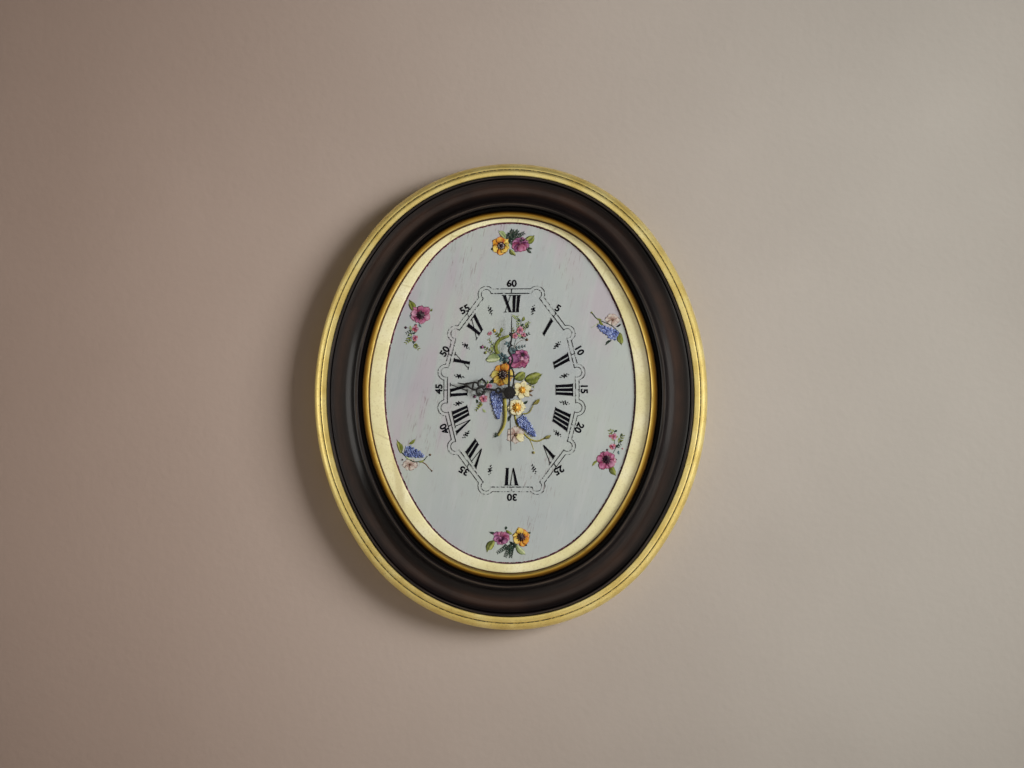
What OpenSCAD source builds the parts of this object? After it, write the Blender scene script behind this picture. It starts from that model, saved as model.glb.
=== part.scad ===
// Oval wall clock: a gilt and dark moulded frame, a white dial, three hands and a battery movement.
// Drawn lying on its back, viewer at +Z and oval centre at the origin, then hung upright by its hanger hole.

/* [Frame] */
// Overall width of the frame
frame_w = 322; // [308:1:336]
// Overall height of the frame
frame_h = 382; // [366:1:400]
// Width of the gilt rim seen from the front
rim_w = 12; // [11:0.5:14]
// Height of the gilt rim's band above the wall
rim_t = 21.2; // [20:0.1:22.4]
// Height of the rim's widest line above the wall
rim_belly = 9; // [7:0.5:11]
// How far the rim is tucked in at the wall
rim_tuck = 2.5; // [1:0.1:4]
// Width of the rim's round side, from its widest line to the incised line
round_w = 6.1; // [5:0.1:6.5]
// Width of the incised line between the rim's round side and its flat band
line_w = 0.6; // [0.4:0.1:1]
// Width of the ledge that carries the dark moulding
ledge_w = 14; // [11:0.5:18]
// Thickness of that ledge
ledge_t = 8; // [7:0.1:9.5]
// Width of the dark moulding
moulding_w = 28.8; // [27:0.1:31]
// Height of the lowest line of the scoop above the wall
scoop_h = 20.5; // [18:0.1:21]
// Radius of the small round bead beside the gilt rim
edge_bead_r = 1.3; // [1:0.05:1.6]
// Radius of the dark moulding's inner bead
crest_r = 1.9; // [1.5:0.1:2.3]
// Height of the inner bead over the black groove
crest_rise = 4.5; // [3.5:0.1:5.5]
// Thickness of the lip that the mat rests against
lip_t = 1.2; // [1:0.1:2]
// Width of that lip
lip_w = 2; // [1.5:0.1:3]
// Width of the gilt slip
slip_w = 6.25; // [5.5:0.05:7]
// Height of the gilt slip
slip_t = 4.2; // [3.5:0.1:5]
// Width of the low step between the slip's bead and the mat
quirk_w = 0.6; // [0.4:0.05:0.8]
// Glue line between the rings
glue_gap = 0.15; // [0.1:0.01:0.2]

/* [Dial] */
// Thickness of the gilded mat
mat_t = 1.5; // [1:0.1:2]
// Thickness of the dial panel
panel_t = 4; // [3:0.1:5]
// Clearance round the mat and the panel
panel_gap = 0.4; // [0.2:0.05:0.6]
// Width of the mat seen at the sides
mat_side = 11.65; // [9:0.05:14]
// Mean width of the mat seen at the top and the bottom
mat_end = 5.15; // [3.5:0.05:8]
// Height of the white oval's centre over the frame's centre
dial_lift = 1.9; // [0:0.1:2]
// Height of the hands' axis over the frame's centre
arbor_lift = 1.3; // [-2:0.1:3]
// Sideways place of the printed dial, from the hands' axis
print_x = 1.5; // [-2:0.1:2]
// Height of the printed dial's centre over the hands' axis
print_y = 2.4; // [-3:0.1:3]
// Width of the oval that the hour numerals' centres lie on
ring_w = 85.8; // [84:0.2:88]
// Height of the oval that the hour numerals' centres lie on
ring_h = 140.6; // [138:0.2:143]
// Height of an hour numeral
numeral_h = 14.2; // [13:0.1:15]
// Width of a numeral's thick stroke
bar_w = 2.4; // [2:0.1:2.7]
// Gap between two strokes
bar_gap = 0.85; // [0.6:0.05:1.1]
// Width of a numeral's thin strokes and serifs
serif_w = 0.55; // [0.4:0.05:0.7]
// Width of the V and the X
wide_w = 6.6; // [6:0.1:7.2]
// Room between the numerals and the minute track's oval at the sides
track_side = 5; // [4:0.1:6]
// Room between the numerals and the minute track's oval at the top and the bottom
track_end = 8; // [7:0.1:9]
// Radius of a scallop
lobe_r = 6.6; // [5.5:0.1:7]
// Distance between the track's two lines
track_gap = 2.6; // [2.2:0.1:3]
// Width of each line
track_line = 0.45; // [0.3:0.05:0.6]
// Thickness of the print
print_t = 0.2; // [0.1:0.05:0.3]

/* [Back fixings] */
// Distance of the hanger hole from the frame's top
hanger_drop = 18; // [17:0.1:19]
// Radius of the hole that the wall screw's head goes through
hole_r = 4; // [3.5:0.1:4.3]
// Radius of the slot that the wall screw's neck hangs in
slot_r = 2.2; // [2:0.1:2.6]
// Distance of the slot's round end from the hole's centre
slot_l = 5.5; // [5:0.1:6]
// Width of the hanger plate
hanger_w = 36; // [34:1:42]
// Height of the hanger plate
hanger_h = 17; // [16.5:0.1:18]
// Thickness of the hanger plate
hanger_t = 1.2; // [1:0.1:1.6]
// Depth of the pocket for the screw's head
pocket_d = 4.8; // [3.5:0.1:5.3]
// Distance between the hanger plate's two screws
hanger_pitch = 26; // [24:0.5:28]
// Shank radius of the small screws
shank_r = 1.4; // [1.2:0.05:1.6]
// Head radius of the small screws
head_r = 2.7; // [2.4:0.1:3]
// Length of the small screws
screw_l = 6.6; // [5:0.1:7]
// Length of a panel point
point_l = 13; // [11:0.5:15]
// Width of a panel point
point_w = 7; // [6:0.5:9]
// Thickness of a panel point
point_t = 0.5; // [0.3:0.05:0.7]
// How far a panel point is driven into the moulding
point_in = 6; // [5:0.5:7]

/* [Movement] */
// Room between the battery and the case behind it
bay_room = 0.1; // [0.1:0.1:1.5]
// Room between the battery's ends and its contacts, all in all
contact_room = 2.3; // [2:0.1:4]
// Gap between the movement and the wall
case_back = 0.8; // [0.5:0.1:1.2]
// Wall of the movement's case
case_wall = 1.2; // [1:0.1:1.3]
// Corner radius of the case
case_round = 3; // [2:0.1:5]
// Thickness of the movement's back cover
cover_t = 1.2; // [1:0.1:1.4]
// Thickness of the rubber washer behind the panel
seal_t = 0.8; // [0.5:0.1:1.2]
// Outer radius of the rubber washer
seal_r = 9; // [7:0.5:12]
// Radius of the threaded bushing
bush_r = 3.5; // [3.4:0.05:3.7]
// Thickness of the nut's washer
washer_t = 0.4; // [0.3:0.1:0.6]
// Width of the nut across its flats
nut_w = 9.2; // [9:0.1:10]
// Thickness of the nut
nut_t = 1.6; // [1.2:0.1:2]
// How far the bushing stands out of the nut
bush_out = 0.4; // [0.2:0.1:1]
// Radius of the battery
battery_r = 7.1; // [7:0.05:7.15]
// Length of the battery with its tip
battery_l = 50.5; // [49.5:0.1:50.6]
// Room between the setting knob's cup and the case's wall
cup_room = 1.5; // [1:0.1:3]
// Thickness of the train bridge
bridge_t = 1; // [0.8:0.1:1.2]
// Thickness of the circuit board
board_t = 0.8; // [0.6:0.1:1]
// Thickness of the stator's sheet
stator_t = 0.8; // [0.6:0.1:0.9]
// Radius of the coil's winding
coil_r = 2.5; // [2.1:0.1:2.6]
// Length of the coil's winding
coil_l = 16; // [14:0.5:16.2]
// Radius of the rotor's magnet
magnet_r = 3; // [2.5:0.1:3.1]
// Thickness of the setting knob's head
knob_t = 2.1; // [1.8:0.1:2.3]
// Radius of the setting knob's head
knob_r = 5.5; // [4.5:0.1:5.7]

/* [Wheels] */
// Thickness of the wheels
wheel_t = 0.7; // [0.6:0.05:0.75]
// Gap between the layers of wheels
layer_gap = 0.4; // [0.35:0.01:0.42]
// Radius of the small pivots
pivot_r = 0.35; // [0.3:0.01:0.4]
// Radius of the second hand's arbor
arbor_r = 0.5; // [0.45:0.01:0.55]
// Outer radius of the minute pipe
minute_r = 1.5; // [1.35:0.05:1.55]
// Outer radius of the hour pipe
hour_r = 2.4; // [2.3:0.05:2.6]
// Running clearance of pivots, pipes and arbor in their holes
run_gap = 0.05; // [0.03:0.01:0.08]
// Module of the rotor's pinion and the step wheel
step_module = 0.22; // [0.215:0.001:0.225]
// Module of the step pinion and the second wheel
second_module = 0.27; // [0.268:0.001:0.274]
// Module of the second pinion and the third wheel
third_module = 0.28; // [0.278:0.001:0.284]
// Module of the minute pinion, the motion wheel and the setting knob
motion_module = 0.4; // [0.395:0.001:0.41]

/* [Hands] */
// Length of the hour hand from the axis
hour_l = 43; // [41:0.1:46]
// Length of the minute hand from the axis
minute_l = 61.8; // [60:0.1:64]
// Length of the second hand from the axis
second_l = 46.8; // [44:0.1:50]
// Length of the second hand's tail
tail_l = 17; // [12:0.5:20]
// Thickness of the hour and minute hands
hand_t = 0.4; // [0.3:0.05:0.5]
// Gap between one hand and the next
hand_gap = 0.6; // [0.5:0.05:0.8]
// Height of the bosses that the hands are pressed on by
boss_t = 0.6; // [0.4:0.1:0.8]
// Radius of the hour hand's round centre
hub_r = 4.4; // [4.2:0.1:5]
// Radius of the minute hand's round centre
minute_hub_r = 3.6; // [3:0.1:4]
// Radius of the second hand's round centre
second_hub_r = 1.8; // [1.6:0.1:2.4]
// Width of the hour hand's stems
hour_stem = 1.5; // [1.1:0.05:1.7]
// Width of the minute hand's stem
minute_stem = 1.3; // [1:0.05:1.5]
// Width of the second hand's stem
second_stem = 0.9; // [0.7:0.05:1.1]
// Hour hand's angle, clockwise from twelve
hour_at = 280.7; // [0:0.1:360]
// Minute hand's angle, clockwise from twelve
minute_at = 1.7; // [0:0.1:360]
// Second hand's angle, clockwise from twelve
second_at = 178.6; // [0:0.1:360]

/* [Hidden] */
$fn = 96;
cut = 1;

half_w = frame_w / 2;
half_h = frame_h / 2;

moulding_u = rim_w + glue_gap;
lip_u = moulding_u + moulding_w;
rebate_u = lip_u - lip_w;
plate_u = rebate_u + panel_gap;
slip_u = lip_u + glue_gap;

bay_play = 0.25;
bay_w = 2 * (battery_r + bay_play);
case_front = case_back + bay_room + bay_w + case_wall;
panel_back = case_front + seal_t;
panel_front = panel_back + panel_t;
rebate_z = panel_front + mat_t;
groove_z = rebate_z + lip_t;
crest_z = groove_z + crest_rise;

inner_front = case_front - case_wall;
cover_z = case_back + cover_t;
battery_z = inner_front - bay_play - battery_r;
contact_t = 0.4;

hour_z = inner_front - 0.35 - wheel_t;
motion_z = hour_z - layer_gap - wheel_t;
centre_z = motion_z - layer_gap - wheel_t;
clutch_play = 0.2;
collar_t = 0.4;
collar_z = centre_z - clutch_play - collar_t;
third_z = collar_z - 0.3 - wheel_t;
second_z = third_z - layer_gap - wheel_t;
step_z = second_z - layer_gap - wheel_t;
bridge_top = step_z - 0.8;
bridge_z = bridge_top - bridge_t;
stator_z = bridge_z - stator_t;
core_z = stator_z - stator_t;
board_z = cover_z + 1.2;

rotor_teeth = 12;
step_teeth = 60;
step_leaves = 10;
second_teeth = 60;
second_leaves = 8;
third_teeth = 60;
third_leaves = 8;
centre_teeth = 64;
minute_leaves = 12;
motion_teeth = 36;
motion_leaves = 10;
hour_teeth = 40;
knob_leaves = 12;

step_far = second_module * (second_teeth + step_leaves) / 2;
rotor_far = step_module * (step_teeth + rotor_teeth) / 2;
third_far = third_module * (third_teeth + second_leaves) / 2;
centre_module = 2 * third_far / (centre_teeth + third_leaves);
motion_far = motion_module * (motion_teeth + minute_leaves) / 2;
hour_module = 2 * motion_far / (hour_teeth + motion_leaves);
knob_far = motion_module * (motion_teeth + knob_leaves) / 2;
step_dir = 60;
rotor_dir = 40;
third_dir = 180;
motion_dir = 0;
knob_dir = 30;
step_at = polar(step_far, step_dir);
rotor_at = step_at + polar(rotor_far, rotor_dir);
third_at = polar(third_far, third_dir);
motion_at = polar(motion_far, motion_dir);
knob_at = motion_at + polar(knob_far, knob_dir);
motion_phase = motion_dir + 180 + 180 / motion_teeth;
knob_slip = (knob_dir - motion_phase) % (360 / motion_teeth);
knob_phase = knob_dir + 180 + 180 / knob_leaves + knob_slip * motion_teeth / knob_leaves;

cup_r = knob_r + 0.7;
cup_wall = 1;
inner_half = max(battery_l / 2 + contact_room / 2 + contact_t, knob_at[0] + cup_r + cup_wall + cup_room);
case_w = 2 * (inner_half + case_wall);
wall_low = -inner_half + bay_w;
wall_high = wall_low + 1;
battery_y = -inner_half + bay_w / 2;
battery_low = -inner_half + contact_t + contact_room * 0.6;
battery_tip = battery_low + battery_l;
coil_y = inner_half - 5.8;
coil_x = -8;

pillar_r = 1.6;
pillar_y = wall_high + pillar_r + 0.6;
pillars = [[third_at[0] - third_far, pillar_y], [third_at[0] - 2.5, 11.2], [motion_at[0] + 5.9, pillar_y]];
post_r = 0.9;
boss_r = 1.2;
bush_top = panel_front + washer_t + nut_t + bush_out;
hour_hand_z = bush_top + 0.5;
minute_hand_z = hour_hand_z + hand_t + boss_t + hand_gap;
second_hand_z = minute_hand_z + hand_t + boss_t + hand_gap;
seat_step = 0.2;
seat_gap = 0.02;

function polar(d, a) = [d * cos(a), d * sin(a)];

// The ovals are drawn with four arcs, on right triangles with sides of 3, 4 and 5.
function end_y(a, b) = 1.5 * (b - a);
function side_x(a, b) = 2 * (b - a);
function end_r(a, b) = b - end_y(a, b);
function side_r(a, b) = a + side_x(a, b);
function ring_r(a, b, h) = 1 / sqrt(pow(sin(h) / a, 2) + pow(cos(h) / b, 2));
function ring_lean(a, b, h) = pow(ring_r(a, b, h), 2) * sin(h) * cos(h) * (1 / (b * b) - 1 / (a * a));

// A ring round the frame's oval. Its section is drawn with the inset as negative X and the height as Y.
module oval_sweep() {
    long = 100;
    for (s = [0, 1])
        rotate([0, 0, 180 * s]) {
            intersection() {
                translate([0, end_y(half_w, half_h), 0])
                    rotate_extrude($fn = 240)
                        translate([end_r(half_w, half_h), 0])
                            children();
                translate([0, end_y(half_w, half_h), -cut])
                    linear_extrude(2 * crest_z)
                        polygon([[0, 0], [4 * long, 3 * long], [-4 * long, 3 * long]]);
            }
            intersection() {
                translate([-side_x(half_w, half_h), 0, 0])
                    rotate([0, 0, 180])
                        rotate_extrude($fn = 240)
                            translate([side_r(half_w, half_h), 0])
                                children();
                translate([-side_x(half_w, half_h), 0, -cut])
                    linear_extrude(2 * crest_z)
                        polygon([[0, 0], [4 * long, -3 * long], [4 * long, 3 * long]]);
            }
        }
}

// A flat plate with the outline of a four-arc oval of half width a and half height b.
module oval_plate(a, b, t) {
    meet_y = end_y(a, b) + end_r(a, b) * 0.6;
    intersection() {
        translate([-side_x(a, b), 0, 0])
            cylinder(r = side_r(a, b), h = t, $fn = 240);
        translate([side_x(a, b), 0, 0])
            cylinder(r = side_r(a, b), h = t, $fn = 240);
        translate([-2 * a, -meet_y, -cut])
            cube([4 * a, 2 * meet_y, t + 2 * cut]);
    }
    for (s = [0, 1])
        rotate([0, 0, 180 * s])
            intersection() {
                translate([0, end_y(a, b), 0])
                    cylinder(r = end_r(a, b), h = t, $fn = 240);
                translate([-2 * a, meet_y, -cut])
                    cube([4 * a, b, t + 2 * cut]);
            }
}

module rounded(w, h, r) {
    square([w - 2 * r, h], center = true);
    square([w, h - 2 * r], center = true);
    for (x = [-1, 1], y = [-1, 1])
        translate([x * (w / 2 - r), y * (h / 2 - r)])
            circle(r);
}

module ring(r_out, r_in, t) {
    difference() {
        cylinder(r = r_out, h = t);
        translate([0, 0, -cut])
            cylinder(r = r_in, h = t + 2 * cut);
    }
}

module at_arbor() {
    translate([0, arbor_lift, 0])
        children();
}

// Hangs the flat drawing on the wall, with the hanger hole at the origin.
module hung() {
    rotate([90, 0, 0])
        translate([0, hanger_drop - half_h, 0])
            children();
}

// Frame
function rim_side() = concat(
    [for (i = [0:3]) let (z = rim_belly * i / 4) [-rim_tuck * pow(1 - z / rim_belly, 2), z]],
    [for (i = [0:7])
        [-round_w * (1 - cos(i * 90 / 7)), rim_belly + (rim_t - 1 - rim_belly) * sin(i * 90 / 7)]]);
line_d = 0.9;

module gilt_rim() {
    band_u = round_w + line_w;
    color("goldenrod")
        hung()
            difference() {
                union() {
                    oval_sweep()
                        polygon(concat(rim_side(), [
                            [-round_w, rim_t - 1 - line_d], [-band_u, rim_t - 1 - line_d],
                            [-band_u - 0.1, rim_t - 0.8], [-band_u - 0.9, rim_t - 0.2],
                            [-(band_u + rim_w) / 2, rim_t], [-rim_w + 0.7, rim_t - 0.1],
                            [-rim_w, rim_t - 0.7], [-rim_w, 0]]));
                    difference() {
                        oval_plate(half_w - rim_w / 2, half_h - rim_w / 2, ledge_t);
                        translate([0, 0, -cut])
                            oval_plate(half_w - rim_w - ledge_w, half_h - rim_w - ledge_w, ledge_t + 2 * cut);
                    }
                }
                translate([0, half_h - hanger_drop, 0])
                    hanger_pocket();
            }
}

function scoop_rise(q) = q < 0.43 ? pow(1 - q / 0.43, 2) * (edge_z - 0.5 - scoop_h)
                                  : pow((q - 0.43) / 0.57, 2) * (crest_z - 1.9 - scoop_h);
edge_z = rim_t + 0.2 + 2 * edge_bead_r;

module cove_moulding() {
    u0 = moulding_u;
    bead_u = u0 + edge_bead_r;
    scoop_u = u0 + 2 * edge_bead_r + 0.7;
    crest_u = lip_u - 2.6 - crest_r;
    rise_u = crest_u - crest_r - 0.15;
    color("saddlebrown")
        hung()
            difference() {
                oval_sweep()
                    polygon(concat(
                        [[-u0, ledge_t]],
                        [for (i = [0:8]) [-bead_u + edge_bead_r * cos(22.5 * i),
                                          edge_z - edge_bead_r + edge_bead_r * sin(22.5 * i)]],
                        [[-bead_u - edge_bead_r - 0.1, rim_t + 0.4], [-scoop_u + 0.1, rim_t + 0.4]],
                        [for (i = [0:14]) [-scoop_u - (rise_u - scoop_u) * i / 14,
                                           scoop_h + scoop_rise(i / 14)]],
                        [for (i = [0:8]) [-crest_u + crest_r * cos(22.5 * i),
                                          crest_z - crest_r + crest_r * sin(22.5 * i)]],
                        [[-crest_u - crest_r - 0.3, groove_z], [-lip_u, groove_z],
                         [-lip_u, rebate_z], [-rebate_u, rebate_z], [-rebate_u, ledge_t]]));
                point_places(0.1);
            }
}

module gilt_slip() {
    bead_w = slip_w - quirk_w;
    base_h = slip_t - 1.8;
    color("gold")
        hung()
            oval_sweep()
                polygon(concat(
                    [[-slip_u, rebate_z]],
                    [for (i = [0:8]) [-slip_u - bead_w / 2 * (1 - cos(22.5 * i)),
                                      rebate_z + base_h + 1.8 * sin(22.5 * i)]],
                    [[-slip_u - bead_w - 0.05, rebate_z + base_h - 0.9],
                     [-slip_u - slip_w, rebate_z + base_h - 1],
                     [-slip_u - slip_w, rebate_z]]));
}

module gilt_mat() {
    sight_u = slip_u + slip_w;
    color("palegoldenrod")
        hung()
            difference() {
                translate([0, 0, panel_front])
                    oval_plate(half_w - plate_u, half_h - plate_u, mat_t);
                translate([0, dial_lift, panel_front - cut])
                    oval_plate(half_w - sight_u - mat_side, half_h - sight_u - mat_end, mat_t + 2 * cut);
            }
}

module dial_panel() {
    color("whitesmoke")
        hung()
            difference() {
                translate([0, 0, panel_back])
                    oval_plate(half_w - plate_u, half_h - plate_u, panel_t);
                at_arbor()
                    translate([0, 0, panel_back - cut])
                        cylinder(r = bush_r + 0.15, h = panel_t + 2 * cut);
            }
}

// Eight flat steel points, driven into the moulding behind the panel.
module point_places(gap) {
    ends = [for (s = [0, 1], d = [-25, 25])
        [[0, (1 - 2 * s) * end_y(half_w, half_h)], 90 + 180 * s + d, end_r(half_w, half_h)]];
    sides = [for (s = [0, 1], d = [-20, 20])
        [[(2 * s - 1) * side_x(half_w, half_h), 0], 180 * s + d, side_r(half_w, half_h)]];
    for (p = concat(ends, sides))
        translate([p[0][0], p[0][1], panel_back - point_t - gap])
            rotate([0, 0, p[1]])
                translate([p[2] - rebate_u, 0, 0])
                    linear_extrude(point_t + gap)
                        polygon([[point_in + gap, 0], [point_in - 2.5, point_w / 2 + gap],
                                 [point_in - point_l - gap, point_w / 2 + gap],
                                 [point_in - point_l - gap, -point_w / 2 - gap],
                                 [point_in - 2.5, -point_w / 2 - gap]]);
}

module panel_points() {
    color("silver")
        hung()
            point_places(0);
}

// Back fixings
hanger_mid = slot_l / 2;
screw_y = hanger_mid;

module keyhole(t) {
    cylinder(r = hole_r, h = t);
    translate([0, slot_l, 0])
        cylinder(r = slot_r, h = t);
    translate([-slot_r, 0, 0])
        cube([2 * slot_r, slot_l, t]);
}

module small_screw(gap) {
    cylinder(r = shank_r + gap, h = screw_l + gap);
    cylinder(r1 = head_r + gap, r2 = shank_r + gap, h = hanger_t);
}

module hanger_screw_places() {
    for (x = [-1, 1])
        translate([x * hanger_pitch / 2, screw_y, 0])
            children();
}

module hanger_pocket() {
    translate([0, hanger_mid, -cut])
        linear_extrude(hanger_t + cut)
            square([hanger_w + 0.2, hanger_h + 0.2], center = true);
    translate([-hole_r - 1, -hole_r - 0.8, 0])
        cube([2 * hole_r + 2, hole_r + slot_l + slot_r + 2, hanger_t + pocket_d]);
    hanger_screw_places()
        cylinder(r = shank_r + 0.1, h = screw_l + 0.1);
}

module hanger_plate() {
    color("silver")
        hung()
            translate([0, half_h - hanger_drop, 0])
                difference() {
                    translate([0, hanger_mid, 0])
                        linear_extrude(hanger_t)
                            rounded(hanger_w, hanger_h, 2);
                    translate([0, 0, -cut])
                        keyhole(hanger_t + 2 * cut);
                    hanger_screw_places()
                        small_screw(0.1);
                }
}

module hanger_screws() {
    color("gold")
        hung()
            translate([0, half_h - hanger_drop, 0])
                hanger_screw_places()
                    difference() {
                        small_screw(0);
                        translate([0, 0, -cut])
                            linear_extrude(cut + 0.6) {
                                square([0.7, 3.2], center = true);
                                square([3.2, 0.7], center = true);
                            }
                    }
}

// Printed dial. A numeral's strokes are drawn straight, then widened a little towards its outer end and
// leaned, so that its ends run along the oval.
hours = [["X", "I", "I"], ["I"], ["I", "I"], ["I", "I", "I"], ["I", "I", "I", "I"], ["V"], ["V", "I"],
         ["V", "I", "I"], ["V", "I", "I", "I"], ["I", "X"], ["X"], ["X", "I"]];
widen = 0.22;
lobe_sink = 1;
tick_w = 0.7;

function glyph_w(g) = g == "I" ? bar_w : wide_w;
function run_w(list, n) = n == 0 ? 0 : glyph_w(list[n - 1]) + bar_gap + run_w(list, n - 1);
function stroke(a, b, low, c, d, high) = [[a, low], [b, low], [d, high], [c, high]];
function strokes(g) = let (w = glyph_w(g), h = numeral_h, t = serif_w, e = bar_gap / 2, m = w / 2, f = w - 4 * t)
    g == "I" ? [stroke(0, w, t / 2, 0, w, h - t / 2), stroke(-e, w + e, 0, -e, w + e, t),
                stroke(-e, w + e, h - t, -e, w + e, h)] :
    g == "V" ? [stroke(m - t, m + t, 0, 0, bar_w, h - t / 2), stroke(m, m + t, t, w - 2 * t, w - t, h - t / 2),
                stroke(-e, bar_w + e, h - t, -e, bar_w + e, h), stroke(f, w + e, h - t, f, w + e, h)] :
               [stroke(w - bar_w, w, t / 2, 0, bar_w, h - t / 2),
                stroke(t, 2 * t, t / 2, w - 2 * t, w - t, h - t / 2),
                stroke(-e, bar_w + e, h - t, -e, bar_w + e, h), stroke(f, w + e, h - t, f, w + e, h),
                stroke(-e, 4 * t, 0, -e, 4 * t, t), stroke(w - bar_w - e, w + e, 0, w - bar_w - e, w + e, t)];

module on_print() {
    hung()
        translate([print_x, arbor_lift + print_y, panel_front])
            children();
}

module dial_numerals() {
    color("black")
        on_print()
            for (i = [0:11]) {
                half = (run_w(hours[i], len(hours[i])) - bar_gap) / 2;
                lean = ring_lean(ring_w / 2, ring_h / 2, 30 * i);
                rotate([0, 0, -30 * i])
                    translate([0, ring_r(ring_w / 2, ring_h / 2, 30 * i) - numeral_h / 2, 0])
                        for (j = [0:len(hours[i]) - 1], q = strokes(hours[i][j]))
                            linear_extrude(print_t)
                                polygon([for (p = q)
                                    let (x = (p[0] + run_w(hours[i], j) - half)
                                             * (1 + widen * (p[1] / numeral_h - 0.5)))
                                    [x, p[1] + lean * x]]);
            }
}

// The minute track's line, out from its outer line: straight at the hours and round in between.
track_a = (ring_w + numeral_h) / 2 + track_side;
track_b = (ring_h + numeral_h) / 2 + track_end;
function track_pts(out) = [for (i = [0:11], j = [-6:6])
    let (h = 30 * i + 15, a = track_a, b = track_b, far = ring_r(a, b, h),
         c = [far * sin(h), far * cos(h)], n = atan2(c[1] / (b * b), c[0] / (a * a)),
         reach = acos((lobe_sink + out) / (lobe_r + out)))
    c - polar(lobe_sink, n) + polar(lobe_r + out, n - reach * j / 6)];

// How far out, straight towards hour i, the line between points p and q is.
function line_far(p, q, i) = let (d = q - p, u = [sin(30 * i), cos(30 * i)])
    (p[0] * d[1] - p[1] * d[0]) / (u[0] * d[1] - u[1] * d[0]);
function track_far(out, i) = let (t = track_pts(out)) line_far(t[13 * ((i + 11) % 12) + 12], t[13 * i], i);

module minute_track() {
    color("black")
        on_print() {
            for (out = [0, -track_gap])
                difference() {
                    linear_extrude(print_t)
                        polygon(track_pts(out + track_line / 2));
                    translate([0, 0, -cut])
                        linear_extrude(print_t + 2 * cut)
                            polygon(track_pts(out - track_line / 2));
                }
            for (i = [0:11])
                rotate([0, 0, -30 * i])
                    translate([-tick_w / 2, track_far(-track_gap, i), 0])
                        cube([tick_w, track_far(0, i) - track_far(-track_gap, i), print_t]);
        }
}

// Movement: what stands still
module seal_washer() {
    color("dimgray")
        hung()
            at_arbor()
                translate([0, 0, case_front])
                    ring(seal_r, bush_r + 0.1, seal_t);
}

module nut_washer() {
    color("gold")
        hung()
            at_arbor()
                translate([0, 0, panel_front])
                    ring(nut_w / 2 + 0.3, bush_r + 0.1, washer_t);
}

module hex_nut() {
    color("dimgray")
        hung()
            at_arbor()
                translate([0, 0, panel_front + washer_t])
                    difference() {
                        cylinder(r = nut_w / 2 / cos(30), h = nut_t, $fn = 6);
                        translate([0, 0, -cut])
                            cylinder(r = bush_r + 0.05, h = nut_t + 2 * cut);
                    }
}

module post(p, z_low, r) {
    translate([p[0], p[1], z_low])
        cylinder(r = r, h = inner_front - z_low + cut / 2, $fn = 48);
}

module blind_bore(p, z_low, depth, r) {
    translate([p[0], p[1], z_low - cut])
        cylinder(r = r, h = depth + cut, $fn = 48);
}

third_post = centre_z + wheel_t + 0.45;
step_post = centre_z + wheel_t + 0.3;
rotor_post = step_z + wheel_t + 0.65;
knob_post = motion_z + wheel_t + 0.5;
pivot_l = 1.2;

module movement_case() {
    color("darkslategray")
        hung()
            at_arbor()
                difference() {
                    union() {
                        difference() {
                            union() {
                                translate([0, 0, cover_z])
                                    linear_extrude(case_front - cover_z)
                                        rounded(case_w, case_w, case_round);
                                translate([0, 0, case_back])
                                    linear_extrude(cover_t)
                                        intersection() {
                                            rounded(case_w, case_w, case_round);
                                            translate([-case_w / 2, -case_w / 2])
                                                square([case_w, case_w / 2 + wall_low]);
                                        }
                            }
                            translate([-inner_half, wall_high, case_back - cut])
                                cube([2 * inner_half, inner_half - wall_high, inner_front - case_back + cut]);
                            translate([-inner_half, -inner_half, case_back - cut])
                                cube([2 * inner_half, bay_w, inner_front - case_back + cut]);
                            for (x = [-inner_half, inner_half - 2 * contact_t])
                                translate([x, wall_low - cut, case_back - cut])
                                    cube([2 * contact_t, 1 + 2 * cut, strip_top + 0.3 - case_back + cut]);
                        }
                        translate([0, 0, case_front - cut / 2])
                            cylinder(r = bush_r, h = bush_top - case_front + cut / 2);
                        for (p = pillars)
                            post(p, bridge_top, pillar_r);
                        post(third_at, third_post, post_r);
                        post(step_at, step_post, post_r);
                        post(rotor_at, rotor_post, post_r);
                        post(knob_at, knob_post, boss_r);
                    }
                    translate([0, 0, inner_front - cut])
                        cylinder(r = hour_r + run_gap, h = bush_top - inner_front + 2 * cut);
                    for (p = pillars)
                        blind_bore(p, bridge_top, 3, 0.75);
                    blind_bore(third_at, third_post, pivot_l, pivot_r + run_gap);
                    blind_bore(step_at, step_post, pivot_l, pivot_r + run_gap);
                    blind_bore(rotor_at, rotor_post, pivot_l, pivot_r + run_gap);
                    blind_bore(knob_at, knob_post, pivot_l, 0.5 + run_gap);
                    blind_bore(motion_at, inner_front, 0.7, 0.5 + run_gap);
                }
}

strip_top = board_z + board_t + 1.6;

module back_cover() {
    color("slategray")
        hung()
            at_arbor()
                difference() {
                    union() {
                        translate([0, 0, case_back])
                            linear_extrude(cover_t)
                                intersection() {
                                    rounded(case_w, case_w, case_round);
                                    translate([-case_w / 2, wall_low + 0.2])
                                        square([case_w, case_w]);
                                }
                        translate([knob_at[0], knob_at[1], case_back])
                            cylinder(r = cup_r + cup_wall, h = knob_t + 1.6);
                        translate([rotor_at[0], rotor_at[1], case_back])
                            cylinder(r = post_r, h = core_z - 0.8 - case_back);
                        for (p = [[-23, -7], [-23, 10], [-9, 10]])
                            translate([p[0], p[1], case_back])
                                cylinder(r = 1, h = board_z - case_back);
                    }
                    translate([knob_at[0], knob_at[1], case_back - cut])
                        cylinder(r = cup_r, h = knob_t + 0.6 + cut);
                    translate([knob_at[0], knob_at[1], case_back - cut])
                        cylinder(r = 1 + run_gap, h = knob_t + 3 + cut);
                    translate([rotor_at[0], rotor_at[1], core_z - 0.8 - pivot_l])
                        cylinder(r = pivot_r + run_gap, h = pivot_l + cut);
                }
}

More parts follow.
